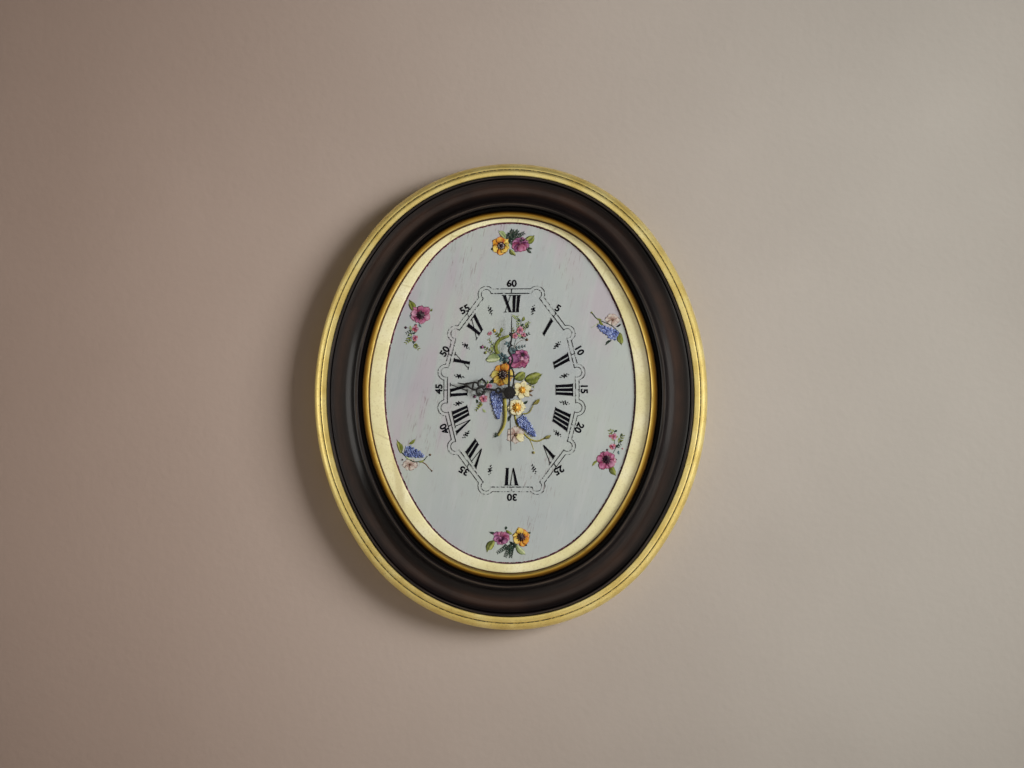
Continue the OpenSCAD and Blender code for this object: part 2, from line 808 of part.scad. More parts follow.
module train_bridge() {
    color("lightslategray")
        hung()
            at_arbor()
                difference() {
                    union() {
                        translate([0, 0, bridge_z])
                            linear_extrude(bridge_t)
                                polygon([pillars[0] + [-2, -1.7], pillars[2] + [1.9, -1.7],
                                         pillars[2] + [1.9, 3.9], motion_at + [3.9, 0],
                                         motion_at + [3.9, 8.5], rotor_at + [4.7, -1.3],
                                         rotor_at + [4.7, 4.7], rotor_at + [-6.8, 4.7],
                                         pillars[1] + [-1, 3.8], pillars[0] + [-2, 11.9]]);
                        for (p = [[0, 0], motion_at])
                            translate([p[0], p[1], bridge_z])
                                cylinder(r = boss_r, h = second_z - 0.3 - bridge_z, $fn = 48);
                        translate([third_at[0], third_at[1], bridge_z])
                            cylinder(r = post_r, h = second_z - 0.3 - bridge_z, $fn = 48);
                        translate([step_at[0], step_at[1], bridge_z])
                            cylinder(r = post_r, h = step_z - 0.3 - bridge_z, $fn = 48);
                    }
                    translate([rotor_at[0], rotor_at[1], bridge_z - cut])
                        cylinder(r = magnet_r + 0.5, h = 3);
                    for (p = pillars)
                        translate([p[0], p[1], bridge_z - cut])
                            cylinder(r = 0.85, h = 3, $fn = 48);
                    for (p = [third_at, step_at])
                        translate([p[0], p[1], bridge_z - cut])
                            cylinder(r = pivot_r + run_gap, h = 6, $fn = 48);
                    translate([0, 0, bridge_z - cut])
                        cylinder(r = arbor_r + run_gap, h = 6, $fn = 48);
                    translate([motion_at[0], motion_at[1], bridge_z - cut])
                        cylinder(r = 0.5 + run_gap, h = 6, $fn = 48);
                }
}

module bridge_screws() {
    color("silver")
        hung()
            at_arbor()
                for (p = pillars)
                    translate([p[0], p[1], bridge_z])
                        difference() {
                            union() {
                                cylinder(r = 0.7, h = bridge_t + 2.6, $fn = 48);
                                translate([0, 0, -0.6])
                                    cylinder(r = 1.5, h = 0.6, $fn = 48);
                            }
                            translate([0, 0, -0.6 - cut])
                                linear_extrude(cut + 0.3)
                                    square([0.5, 4], center = true);
                        }
}

module battery() {
    color("darkgreen")
        hung()
            at_arbor()
                translate([battery_low, battery_y, battery_z])
                    rotate([0, 90, 0]) {
                        cylinder(r = battery_r, h = battery_l - 1.5);
                        cylinder(r = 2.7, h = battery_l);
                    }
}

module contact_minus() {
    color("silver")
        hung()
            at_arbor() {
                translate([-inner_half, -inner_half + 1, cover_z + 0.4])
                    cube([contact_t, wall_high + inner_half - 1 + 4, strip_top - cover_z - 0.4]);
                translate([-inner_half, battery_y - 4, cover_z + 0.4])
                    cube([contact_t, 8, battery_z + 4 - cover_z - 0.4]);
                translate([-inner_half + contact_t, battery_y, battery_z])
                    rotate([0, 90, 0])
                        cylinder(r1 = 3, r2 = 1.4, h = battery_low + inner_half - contact_t);
            }
}

module contact_plus() {
    color("silver")
        hung()
            at_arbor() {
                translate([inner_half - contact_t, -inner_half + 1, cover_z + 0.4])
                    cube([contact_t, wall_high + inner_half - 0.4, strip_top - cover_z - 0.4]);
                translate([inner_half - contact_t, battery_y - 4, cover_z + 0.4])
                    cube([contact_t, 8, battery_z + 4 - cover_z - 0.4]);
                translate([battery_tip, battery_y, battery_z])
                    rotate([0, 90, 0])
                        cylinder(r1 = 1.4, r2 = 3, h = inner_half - contact_t - battery_tip);
                translate([board_right - 2, wall_high + 0.2, board_z - 0.4])
                    cube([inner_half - board_right + 2, contact_t, strip_top - board_z + 0.4]);
            }
}

board_right = -6;
board_left = -inner_half + contact_t;
board_low = wall_high + 0.2 + contact_t;

module circuit_board() {
    color("green")
        hung()
            at_arbor()
                translate([board_left, board_low, board_z])
                    cube([board_right - board_left, 12.5 - board_low, board_t]);
}

module crystal() {
    color("silver")
        hung()
            at_arbor()
                translate([-21, 8.5, board_z + board_t + 0.95])
                    rotate([0, 90, 0])
                        cylinder(r = 0.95, h = 6, $fn = 48);
}

module chip_cap() {
    color("black")
        hung()
            at_arbor()
                translate([-16, 0, board_z + board_t])
                    cylinder(r1 = 3, r2 = 2, h = 1.1);
}

module stator() {
    leg_in = coil_l / 2 + 0.8 + 0.4;
    leg_out = leg_in + 3.6;
    color("lightgray")
        hung()
            at_arbor()
                translate([0, 0, stator_z])
                    linear_extrude(stator_t)
                        difference() {
                            union() {
                                polygon([[coil_x - leg_out, coil_y + 1.3], [coil_x - leg_out, 13.3],
                                         [8, 13.3], [8, 15.6], [coil_x - leg_in, 15.6],
                                         [coil_x - leg_in, coil_y + 1.3]]);
                                polygon([[coil_x + leg_in, coil_y + 1.3], [coil_x + leg_in, 18.6],
                                         [8.5, 17], [13, 15.5], [13.5, 18], [coil_x + leg_out, 20.6],
                                         [coil_x + leg_out, coil_y + 1.3]]);
                                translate(rotor_at)
                                    circle(magnet_r + 2.3);
                            }
                            translate(rotor_at)
                                circle(magnet_r + 0.4);
                        }
}

module coil_core() {
    span = coil_l + 2 * (0.8 + 0.4 + 3.2);
    color("lightgray")
        hung()
            at_arbor()
                translate([coil_x - span / 2, coil_y - 1.2, core_z])
                    cube([span, 2.4, stator_t]);
}

module along_coil(x) {
    translate([coil_x + x, coil_y, core_z + stator_t / 2])
        rotate([0, 90, 0])
            children();
}

module coil_bobbin() {
    color("ivory")
        hung()
            at_arbor()
                difference() {
                    union() {
                        along_coil(-coil_l / 2 - 0.1)
                            cylinder(r = 1.7, h = coil_l + 0.2);
                        for (x = [-coil_l / 2 - 0.85, coil_l / 2 + 0.05])
                            translate([coil_x + x, coil_y - coil_r, core_z + stator_t / 2 - coil_r])
                                cube([0.8, 2 * coil_r, 2 * coil_r]);
                    }
                    translate([coil_x - coil_l, coil_y - 1.25, core_z - 0.05])
                        cube([2 * coil_l, 2.5, stator_t + 0.1]);
                }
}

module coil_winding() {
    color("peru")
        hung()
            at_arbor()
                along_coil(-coil_l / 2)
                    ring(coil_r, 1.75, coil_l);
}

// Movement: the wheels. Straight-sided teeth with generous play, each pair tooth to gap along its centres.
function teeth(n, m, fill, tall, deep, root) = [for (i = [0:n - 1], k = [0:3])
    let (r = n * m / 2, a = fill * 180 / n,
         q = [[r - deep * m, -a * root], [r + tall * m, -a / 2], [r + tall * m, a / 2], [r - deep * m, a * root]][k])
    polar(q[0], 360 * i / n + q[1])];

module toothed(n, m, phase, z, t) {
    translate([0, 0, z])
        rotate([0, 0, phase])
            linear_extrude(t)
                polygon(n < 20 ? teeth(n, m, 0.4, 0.75, 1.25, 1) : teeth(n, m, 0.42, 0.85, 1.15, 1.25));
}

module spindle(r, z_low, z_high) {
    translate([0, 0, z_low])
        cylinder(r = r, h = z_high - z_low, $fn = 48);
}

module turned(p) {
    hung()
        at_arbor()
            translate([p[0], p[1], 0])
                children();
}

module rotor() {
    magnet_z = stator_z + stator_t / 2 - 1.3;
    color("darkgray")
        turned(rotor_at) {
            spindle(magnet_r, magnet_z, magnet_z + 2.6);
            spindle(0.9, magnet_z + 2.6, step_z - 0.5);
            toothed(rotor_teeth, step_module, rotor_dir + 180 + 180 / rotor_teeth, step_z - 0.5, wheel_t + 0.9);
            spindle(pivot_r, step_z - 0.5, rotor_post + pivot_l - 0.15);
            spindle(pivot_r, core_z - 0.8 - pivot_l + 0.15, magnet_z + 1);
        }
}

module step_wheel() {
    color("white")
        turned(step_at) {
            toothed(step_teeth, step_module, rotor_dir, step_z, wheel_t);
            toothed(step_leaves, second_module, step_dir + 180 + 180 / step_leaves, step_z + wheel_t,
                    second_z - step_z + 0.3);
            spindle(pivot_r, bridge_z, step_post + pivot_l - 0.15);
        }
}

module second_wheel() {
    color("white")
        turned([0, 0]) {
            toothed(second_teeth, second_module, step_dir, second_z, wheel_t);
            toothed(second_leaves, third_module, third_dir, second_z + wheel_t, third_z - second_z + 0.15);
            spindle(arbor_r, bridge_z, second_hand_z);
            spindle(arbor_r - 0.1, second_hand_z - cut, second_hand_z + hand_t + 0.3);
        }
}

module third_wheel() {
    color("white")
        turned(third_at) {
            toothed(third_teeth, third_module, third_dir + 180 + 180 / third_teeth, third_z, wheel_t);
            toothed(third_leaves, centre_module, third_dir + 180, third_z + wheel_t,
                    centre_z - third_z + 0.15);
            spindle(pivot_r, bridge_z, third_post + pivot_l - 0.15);
        }
}

clutch_r = minute_r + 0.35;

module centre_wheel() {
    color("goldenrod")
        turned([0, 0])
            difference() {
                toothed(centre_teeth, centre_module, third_dir + 180 / centre_teeth, centre_z, wheel_t);
                spindle(clutch_r + run_gap, centre_z - cut, centre_z + wheel_t + cut);
            }
}

module minute_pipe() {
    pinion_z = centre_z + wheel_t + 0.2;
    color("goldenrod")
        turned([0, 0])
            difference() {
                union() {
                    spindle(clutch_r + 1, collar_z, collar_z + collar_t);
                    spindle(clutch_r, collar_z, pinion_z);
                    toothed(minute_leaves, motion_module, motion_dir, pinion_z, hour_z - 0.3 - pinion_z);
                    spindle(minute_r, pinion_z, minute_hand_z);
                    spindle(minute_r - seat_step, minute_hand_z - cut, minute_hand_z + hand_t + boss_t);
                }
                spindle(arbor_r + run_gap, collar_z - cut, minute_hand_z + 3);
            }
}

module motion_wheel() {
    color("white")
        turned(motion_at) {
            toothed(motion_teeth, motion_module, motion_phase, motion_z, wheel_t);
            toothed(motion_leaves, hour_module, motion_dir + 180, motion_z + wheel_t, hour_z - motion_z + 0.1);
            spindle(0.5, bridge_z, inner_front + 0.55);
        }
}

module hour_wheel() {
    color("white")
        turned([0, 0])
            difference() {
                union() {
                    toothed(hour_teeth, hour_module, motion_dir + 180 / hour_teeth, hour_z, wheel_t);
                    spindle(hour_r, hour_z, hour_hand_z);
                    spindle(hour_r - seat_step, hour_hand_z - cut, hour_hand_z + hand_t + boss_t);
                }
                spindle(minute_r + run_gap, hour_z - cut, hour_hand_z + 3);
            }
}

module setting_knob() {
    gear_z = motion_z - 0.2;
    color("dimgray")
        turned(knob_at) {
            toothed(knob_leaves, motion_module, knob_phase, gear_z, wheel_t + 0.4);
            spindle(0.5, gear_z, knob_post + pivot_l - 0.15);
            spindle(1, case_back + knob_t, gear_z);
            difference() {
                spindle(knob_r, case_back + 0.2, case_back + 0.2 + knob_t);
                for (i = [0:15])
                    rotate([0, 0, 22.5 * i])
                        translate([knob_r + 0.2, 0, 0])
                            spindle(0.6, case_back - cut, case_back + knob_t + cut);
            }
        }
}

// Hands. Each is drawn pointing at twelve.
function bend(p, i, t) = let (n = len(p) - 1, a = p[max(i - 1, 0)], b = p[i], c = p[i + 1], d = p[min(i + 2, n)])
    0.5 * (2 * b + (c - a) * t + (2 * a - 5 * b + 4 * c - d) * t * t + (3 * b - a - 3 * c + d) * t * t * t);
function smooth(p, n) = concat([for (i = [0:len(p) - 2], j = [0:n - 1]) bend(p, i, j / n)], [p[len(p) - 1]]);
function across(p, i) = let (d = p[min(i + 1, len(p) - 1)] - p[max(i - 1, 0)]) [-d[1], d[0]] / norm(d);
function ribbon(p, w0, w1) = let (n = len(p) - 1) concat(
    [for (i = [0:n]) p[i] + across(p, i) * (w0 + (w1 - w0) * i / n) / 2],
    [for (i = [n:-1:0]) p[i] - across(p, i) * (w0 + (w1 - w0) * i / n) / 2]);

module loop(x, y, r, w) {
    translate([x, y])
        difference() {
            circle(r, $fn = 48);
            circle(r - w, $fn = 48);
        }
}

module hand_plate(z, at, t) {
    turned([0, 0])
        rotate([0, 0, -at])
            translate([0, 0, z])
                linear_extrude(t)
                    children();
}

module hand_boss(z, t, r, bore) {
    turned([0, 0])
        translate([0, 0, z])
            ring(r, bore, t);
}

module hour_hand() {
    q = hour_l / 43;
    w = hour_stem / q;
    color("black") {
        hand_plate(hour_hand_z, hour_at, hand_t)
            difference() {
                union() {
                    circle(hub_r);
                    scale(q) {
                        polygon([[-1.3, 2.9], [1.3, 2.9], [0.7, 7.3], [-0.7, 7.3]]);
                        loop(0, 9.25, 2.7, w);
                        polygon(ribbon([[0, 11.4], [-0.3, 14.8], [-0.6, 20.7]], w, 1.5 * w));
                        for (s = [-1, 1]) {
                            loop(3.1 * s, 23.6, 3.85, w);
                            polygon([[6.1 * s, 22.2], [7.9 * s, 24], [6.1 * s, 25.6]]);
                            polygon(ribbon(smooth([[2.6 * s, 26.8], [3 * s, 29.5], [1.5 * s, 33.5],
                                                   [0.5 * s, 36.9]], 6), w, 0.8 * w));
                        }
                        translate([-3, 29.5])
                            square([6, w]);
                        polygon([[-0.8, 34.9], [0.8, 34.9], [0.35, 43], [-0.35, 43]]);
                    }
                }
                circle(hour_r - seat_step + seat_gap);
            }
        hand_boss(hour_hand_z, hand_t + boss_t, hour_r + 0.7, hour_r - seat_step + seat_gap);
    }
}

module minute_hand() {
    q = minute_l / 61.8;
    w = minute_stem / q;
    stem = [[0, 20.3], [-0.2, 21.8], [0.9, 24.2], [1.6, 27.1], [0.6, 29.8], [-1.1, 32.1], [-1.8, 34.1],
            [-1.2, 36.4], [0, 38.2], [-0.3, 40.2], [0.2, 42.8], [0.3, 45.2], [0, 47.2]];
    color("black") {
        hand_plate(minute_hand_z, minute_at, hand_t)
            difference() {
                union() {
                    circle(minute_hub_r);
                    scale(q) {
                        polygon(ribbon(smooth([[-1.1, 2.6], [-1, 6.9], [-1, 12.3], [-0.9, 17.2], [0, 21]], 6),
                                       w, w));
                        polygon(ribbon(smooth([[1.5, 2.6], [2.7, 6.9], [3.2, 12.3], [2.5, 17], [0.4, 21]], 6),
                                       w, w));
                        translate([-1, 12.8])
                            square([4.2, w]);
                        polygon(ribbon(smooth(stem, 5), 1.2 * w, w));
                        polygon([[-0.5, 37], [2, 38.2], [0.4, 39.2]]);
                        polygon([[-2, 46.4], [0, 45.1], [1.9, 48.8], [0, 48], [-1.5, 49.2]]);
                        polygon([[-0.55, 45.3], [0.55, 45.3], [0.3, 61.8], [-0.3, 61.8]]);
                    }
                }
                circle(minute_r - seat_step + seat_gap);
            }
        hand_boss(minute_hand_z, hand_t + boss_t, minute_r + 0.7, minute_r - seat_step + seat_gap);
    }
}

module second_hand() {
    bore = arbor_r - 0.1 + seat_gap;
    color("black") {
        hand_plate(second_hand_z, second_at, hand_t - 0.1)
            difference() {
                union() {
                    circle(second_hub_r);
                    polygon([[-second_stem / 2, 0], [second_stem / 2, 0],
                             [second_stem / 3, second_l], [-second_stem / 3, second_l]]);
                    polygon([[-second_stem / 2, 0], [second_stem / 2, 0],
                             [1.2 * second_stem, -tail_l], [-1.2 * second_stem, -tail_l]]);
                }
                circle(bore);
            }
        hand_boss(second_hand_z, hand_t + 0.3, second_hub_r - 0.7, bore);
    }
}

gilt_rim();
cove_moulding();
gilt_slip();
gilt_mat();
dial_panel();
dial_numerals();
minute_track();
panel_points();
hanger_plate();
hanger_screws();
seal_washer();
nut_washer();
hex_nut();
movement_case();
back_cover();
train_bridge();
bridge_screws();
battery();
contact_minus();
contact_plus();
circuit_board();
crystal();
chip_cap();
stator();
coil_core();
coil_bobbin();
coil_winding();
rotor();
step_wheel();
second_wheel();
second_hand();
third_wheel();
centre_wheel();
minute_pipe();
minute_hand();
motion_wheel();
hour_wheel();
hour_hand();
setting_knob();
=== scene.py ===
import math
import random

import bmesh
import bpy
from mathutils import Matrix, Vector, noise


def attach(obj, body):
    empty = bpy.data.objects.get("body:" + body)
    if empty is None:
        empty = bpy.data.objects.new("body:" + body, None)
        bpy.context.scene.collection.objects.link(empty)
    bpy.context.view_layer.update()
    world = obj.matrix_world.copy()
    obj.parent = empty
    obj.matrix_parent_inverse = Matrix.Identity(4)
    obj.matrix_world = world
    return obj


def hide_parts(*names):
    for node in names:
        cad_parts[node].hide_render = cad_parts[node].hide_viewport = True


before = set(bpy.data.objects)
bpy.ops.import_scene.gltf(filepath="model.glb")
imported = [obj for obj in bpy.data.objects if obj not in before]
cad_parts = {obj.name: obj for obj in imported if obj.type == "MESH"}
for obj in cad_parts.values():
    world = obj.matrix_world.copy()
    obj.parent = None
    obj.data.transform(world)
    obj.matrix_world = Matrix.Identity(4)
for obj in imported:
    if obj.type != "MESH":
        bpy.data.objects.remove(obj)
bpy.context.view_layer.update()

print("clock loaded:", len(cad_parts), "parts")

mm = 0.001
clock = {
    "halfWidth": 161, "halfHeight": 191,  # outer edge of the oval frame
    "centreZ": -173,  # the oval's centre under the hanger hole
    "hubUp": 1.3,  # the hands' axis over that centre
    "printX": 1.5, "printUp": 3.7,  # centre of the printed dial
    "dialFace": 21.6,  # painted face over the wall
    "printThickness": 0.1,
    "meanRadius": 150,  # for streaks that follow the mouldings
    "sharp": 32,  # edges past this angle stay sharp
}
# new pieces are drawn flat in millimetres, x right, y up, z towards the viewer, then hung on the wall
hang = Matrix.Translation((0, 0, clock["centreZ"] * mm)) @ Matrix.Rotation(math.pi / 2, 4, "X") \
    @ Matrix.Scale(mm, 4)


def ink(rgb):  # screen colour to linear
    return tuple(c / (255 * 12.92) if c < 11 else ((c / 255 + 0.055) / 1.055) ** 2.4 for c in rgb) + (1.0,)


class Wire:  # a socket that can be used in sums
    def __init__(self, finish, socket):
        self.finish, self.socket = finish, socket

    def calc(self, operation, *others):
        return self.finish.add("ShaderNodeMath", {"operation": operation}, [self, *others])

    def __add__(self, other):
        return self.calc("ADD", other)

    def __sub__(self, other):
        return self.calc("SUBTRACT", other)

    def __rsub__(self, other):
        return self.finish.add("ShaderNodeMath", {"operation": "SUBTRACT"}, [other, self])

    def __mul__(self, other):
        return self.calc("MULTIPLY", other)

    def __lt__(self, other):
        return self.calc("LESS_THAN", other)

    __radd__ = __add__
    __rmul__ = __mul__


class Finish:  # a material and the tools that build its nodes
    def __init__(self, name, specular=0.5, sockets=()):
        self.material = bpy.data.materials.new(name)
        self.material.use_nodes = True
        self.tree = self.material.node_tree
        self.shader = self.tree.nodes["Principled BSDF"]
        self.where = self.add("ShaderNodeTexCoord", pick="Object")
        self.sockets({"Specular IOR Level": specular, **dict(sockets)})

    def plug(self, socket, value):
        if isinstance(value, Wire):
            self.tree.links.new(value.socket, socket)
        else:
            socket.default_value = value

    def sockets(self, values):
        for name, value in values.items():
            self.plug(self.shader.inputs[name], value)

    def add(self, kind, settings=(), inputs=(), pick=0):
        node = self.tree.nodes.new(kind)
        for key, value in dict(settings).items():
            if key == "stops":
                ramp = node.color_ramp
                ramp.elements.remove(ramp.elements[1])
                ramp.elements[0].position, ramp.elements[0].color = value[0]
                for at, colour in value[1:]:
                    ramp.elements.new(at).color = colour
            else:
                setattr(node, key, value)
        for key, value in inputs.items() if isinstance(inputs, dict) else enumerate(inputs):
            self.plug(node.inputs[key], value)
        return Wire(self, node.outputs[pick])

    def axis(self, index, vector=None):
        return self.add("ShaderNodeSeparateXYZ", {}, [vector or self.where], index)

    def attribute(self, name, pick="Fac"):
        return self.add("ShaderNodeAttribute", {"attribute_name": name}, (), pick)

    def noise(self, scale, detail=3, stretch=(1, 1, 1), vector=None, rough=0.5):
        place = self.add("ShaderNodeMapping", {}, {"Vector": vector or self.where, "Scale": stretch})
        return self.add("ShaderNodeTexNoise", {}, {
            "Vector": place, "Scale": scale, "Detail": detail, "Roughness": rough})

    def streaks(self, detail, x, y, z=0.0):  # noise over coordinates of its own
        return self.noise(1, detail, vector=self.add("ShaderNodeCombineXYZ", {}, [x, y, z]))

    def rise(self, value, low, high):  # 0 below low, 1 above high, smooth in between
        smooth = {"interpolation_type": "SMOOTHSTEP"}
        return self.add("ShaderNodeMapRange", smooth, [value, low, high, 0.0, 1.0])

    def band(self, value, low, high, soft):
        return self.rise(value, low - soft, low + soft) * (1 - self.rise(value, high - soft, high + soft))

    def ramp(self, value, stops):
        return self.add("ShaderNodeValToRGB", {"stops": [(at, ink(rgb)) for at, rgb in stops]}, [value])

    def mix(self, factor, first, second):
        colours = [ink(c) if isinstance(c, tuple) else c for c in (first, second)]
        return self.add("ShaderNodeMix", {"data_type": "RGBA"}, {0: factor, 6: colours[0], 7: colours[1]}, 2)

    def ringLength(self):  # millimetres round the oval, for streaks that follow the mouldings
        x, z = self.axis(0), self.axis(2) - clock["centreZ"] * mm
        return x.calc("ARCTAN2", z) * clock["meanRadius"]

    def outward(self):  # millimetres from the wall
        return self.axis(1) * -1000

    def rawWood(self, *tones):
        return self.ramp(self.noise(35, 5, (1, 1, 9)), zip((0.3, 0.5, 0.7), tones))

    def done(self, tone, relief, depth, strength, sockets=()):
        bump = self.add("ShaderNodeBump", {}, {
            "Height": relief, "Distance": depth * mm, "Strength": strength})
        self.sockets({"Base Color": tone, "Normal": bump, **dict(sockets)})
        return self.material


def rubbedGilt():
    f = Finish("rubbedGilt", 0.6, {"Coat Weight": 0.2, "Coat Roughness": 0.25})
    inset, out = f.attribute("inset"), f.outward()
    along = f.ringLength()
    leaf, grain = f.noise(60, 4), f.noise(900, 3)
    gold = f.ramp(leaf, [(0.3, (228, 206, 122)), (0.5, (242, 224, 144)), (0.72, (250, 238, 168))])
    brush = f.streaks(3, inset * 3.2, along * 0.05)
    gold = f.mix(f.rise(brush, 0.55, 0.75) * 0.3, gold, (176, 146, 66))
    gold = f.mix(f.rise(grain, 0.6, 0.7) * 0.45, gold, (140, 104, 44))
    rubbed = f.rise(f.noise(220, 5), 0.68, 0.76) * f.band(out, 15, 20.6, 2) * 0.45
    gold = f.mix(rubbed, gold, (136, 88, 40))
    marks = f.streaks(2, along * 0.42, inset * 0.3)
    # painted shade: the incised line between the round side and the flat band is darkened near black, broken
    # into dashes
    line = f.band(inset, 6.1, 6.78, 0.06) * (out < 20.5)
    dashes = line * (0.35 + 0.65 * f.rise(marks, 0.44, 0.52))
    gold = f.mix(dashes, gold, (40, 26, 8))
    # painted shade: the rim's inner edge and inner wall darken where they drop into the gap beside the dark
    # moulding
    gapShade = f.band(inset, 11.7, 12.4, 0.1)
    gold = f.mix(gapShade * 0.85, gold, (40, 28, 10))
    # painted shade: the gilt darkens towards the wall over the lowest 7 mm of the rim's side
    low = 1 - f.rise(out, 0.5, 7)
    gold = f.mix(low * 0.6, gold, (110, 84, 34))
    bare = 1 - f.rise(out, 0.05, 0.25)
    bare = (bare + f.rise(inset, 12.3, 12.6)).calc("MINIMUM", 1.0)
    wood = f.rawWood((150, 116, 78), (176, 142, 100), (192, 160, 118))
    metal = (1 - bare) * (1 - dashes) * (0.9 - 0.5 * rubbed)
    height = grain * 0.4 + leaf + f.noise(260, 3) * 0.5
    softer = 0.12 * (1 - f.rise(inset, 5.6, 6.2))  # the round side is less polished
    return f.done(f.mix(bare, gold, wood), height, 0.08, 0.5, {
        "Metallic": metal, "Roughness": 0.34 + grain * 0.12 + bare * 0.35 + softer})


def darkWood():
    f = Finish("darkWood", 0.08, {"Coat Roughness": 0.2})
    inset, out = f.attribute("inset"), f.outward()
    along = f.ringLength()
    lines = f.streaks(4, inset * 2.6, along * 0.035, out * 0.4)
    cloud, pores = f.noise(24, 4), f.noise(700, 2)
    brown = f.ramp(lines, [(0.25, (5, 4, 6)), (0.5, (11, 8, 9)), (0.62, (20, 14, 14)), (0.8, (38, 28, 24))])
    # painted sheen: a lighter warm brown along the scoop's bottom, where it faces straight out
    scoopSheen = f.band(inset, 19, 27, 3) * (0.45 + 0.55 * f.rise(cloud, 0.4, 0.62)) * 0.8
    brown = f.mix(scoopSheen, brown, (50, 34, 26))
    brown = f.mix(f.rise(pores, 0.66, 0.74) * 0.3, brown, (6, 5, 5))
    # painted shade: near black in the grooves beside the small bead and inside the crest, and in the gap
    # beside the gilt rim; these also lose their coat
    grooveShade = (f.band(inset, 14.7, 15.5, 0.12) + f.band(inset, 38.4, 41.2, 0.25)
              + f.band(inset, 11.9, 12.6, 0.1)).calc("MINIMUM", 1.0)
    brown = f.mix(grooveShade * 0.9, brown, (3, 3, 3))
    # painted highlight: lighter streaks along the crests of the small bead and of the big crest bead
    crestHighlight = (f.band(inset, 12.9, 13.8, 0.25) + f.band(inset, 35.8, 37, 0.4)) * f.rise(lines, 0.4, 0.6)
    brown = f.mix(crestHighlight * 0.5, brown, (82, 70, 58))
    bare = 1 - f.rise(out, 8.0, 8.3)
    wood = f.rawWood((146, 112, 76), (170, 136, 96), (188, 156, 114))
    return f.done(f.mix(bare, brown, wood), lines + cloud * 0.3, 0.12, 0.5, {
        "Roughness": 0.38 + lines * 0.12 + bare * 0.3,
        "Coat Weight": (1 - bare) * (1 - grooveShade) * (0.3 + 0.35 * lines)})


def burnishedGold():
    f = Finish("burnishedGold", 0.6)
    inset = f.attribute("inset")
    along = f.ringLength()
    brush = f.streaks(3, inset * 3, along * 0.06)
    patch = f.noise(90, 4)
    # the ramp across the bead paints its light and shade: painted shade in the groove at its outer foot, a
    # painted highlight along its crest and a painted shadow line at its inner edge
    tone = f.ramp((inset - 41) * (1 / 6.4), [
        (0.0, (16, 10, 4)), (0.16, (34, 22, 6)), (0.28, (90, 62, 16)), (0.42, (132, 98, 30)),
        (0.56, (182, 144, 56)), (0.68, (220, 192, 102)), (0.8, (226, 202, 122)), (0.87, (128, 90, 34)),
        (0.9, (56, 32, 12)), (1.0, (40, 24, 10))])
    tone = f.mix(f.rise(brush, 0.46, 0.7) * 0.6, tone, (112, 80, 28))
    tone = f.mix(f.rise(patch, 0.64, 0.72) * 0.35, tone, (100, 66, 26))
    line = f.rise(inset, 46.7, 46.85)
    return f.done(tone, brush + patch, 0.07, 0.5, {
        "Metallic": 0.92 - line * 0.92, "Roughness": 0.26 + brush * 0.16 + line * 0.4})


def paleMat():
    f = Finish("paleMat")
    edge = f.attribute("inset")  # distance outwards from the white oval
    grain, cloud = f.noise(1500, 2), f.noise(38, 4)
    tone = f.ramp(cloud, [(0.3, (236, 230, 176)), (0.5, (248, 243, 196)), (0.7, (253, 250, 214))])
    tone = f.mix(f.rise(f.noise(760, 3), 0.52, 0.68) * 0.35, tone, (214, 200, 144))
    tone = f.mix(f.rise(f.noise(420, 2), 0.76, 0.8) * 0.55, tone, (112, 98, 60))
    leaf = f.add("ShaderNodeTexVoronoi", {"feature": "DISTANCE_TO_EDGE"}, {"Vector": f.where, "Scale": 14.0})
    seams = (1 - f.rise(leaf, 0.004, 0.014)) * f.rise(f.noise(8, 2), 0.45, 0.6)
    tone = f.mix(seams * 0.35, tone, (180, 160, 100))
    rim = (1 - f.rise(edge, 0.12, 0.4)) * f.rise(f.noise(300, 3), 0.28, 0.4)
    tone = f.mix(rim, tone, (70, 42, 44))
    return f.done(tone, grain + cloud, 0.05, 0.5, {
        "Metallic": 0.45 - rim * 0.45, "Roughness": 0.42 + grain * 0.16})


def paintedEdge():
    f = Finish("paintedEdge", 0.1, {"Roughness": 0.6})
    beads = f.noise(380, 2)
    tone = f.ramp(beads, [
        (0.3, (136, 106, 114)), (0.4, (94, 40, 56)), (0.58, (62, 22, 36)), (0.8, (36, 12, 24))])
    return f.done(tone, beads, 0.1, 0.6)


def chalkPaint():
    f = Finish("chalkPaint", 0.3)
    out = f.outward()
    lean = f.add("ShaderNodeMapping", {}, {"Vector": f.where, "Rotation": (0.0, math.radians(-12), 0.0)})
    cloud = f.noise(14, 4)
    brush = f.noise(60, 5, (2.6, 1, 0.3), lean, 0.6)
    fine = f.noise(330, 4, (2.6, 1, 0.22), lean, 0.65)
    tone = f.ramp(cloud, [(0.3, (162, 170, 173)), (0.5, (168, 176, 175)), (0.7, (172, 181, 174))])
    tone = f.mix(f.rise(brush, 0.52, 0.68) * 0.35, tone, (180, 184, 186))
    tint = f.rise(f.noise(26, 3, (2.4, 1, 0.3), lean), 0.44, 0.62) * f.rise(f.noise(9, 3), 0.4, 0.58)
    tone = f.mix(tint * 0.55, tone, (172, 160, 172))
    patches = f.rise(f.noise(15, 3, (1.3, 1, 0.5), lean), 0.51, 0.62)
    scuffs = f.rise(fine, 0.54, 0.62) * patches * f.rise(f.noise(160, 3), 0.4, 0.56)
    tone = f.mix(scuffs * 0.6, tone, (124, 106, 106))
    tone = f.mix(f.rise(fine, 0.58, 0.7) * 0.25, tone, (134, 120, 124))
    board = f.ramp(f.noise(300, 4), [(0.35, (96, 66, 44)), (0.65, (124, 90, 62))])
    back = 1 - f.rise(out, 21.3, 21.5)
    return f.done(f.mix(back, tone, board), brush + fine * 0.6, 0.05, 0.5, {
        "Roughness": 0.55 + fine * 0.12 + back * 0.2})


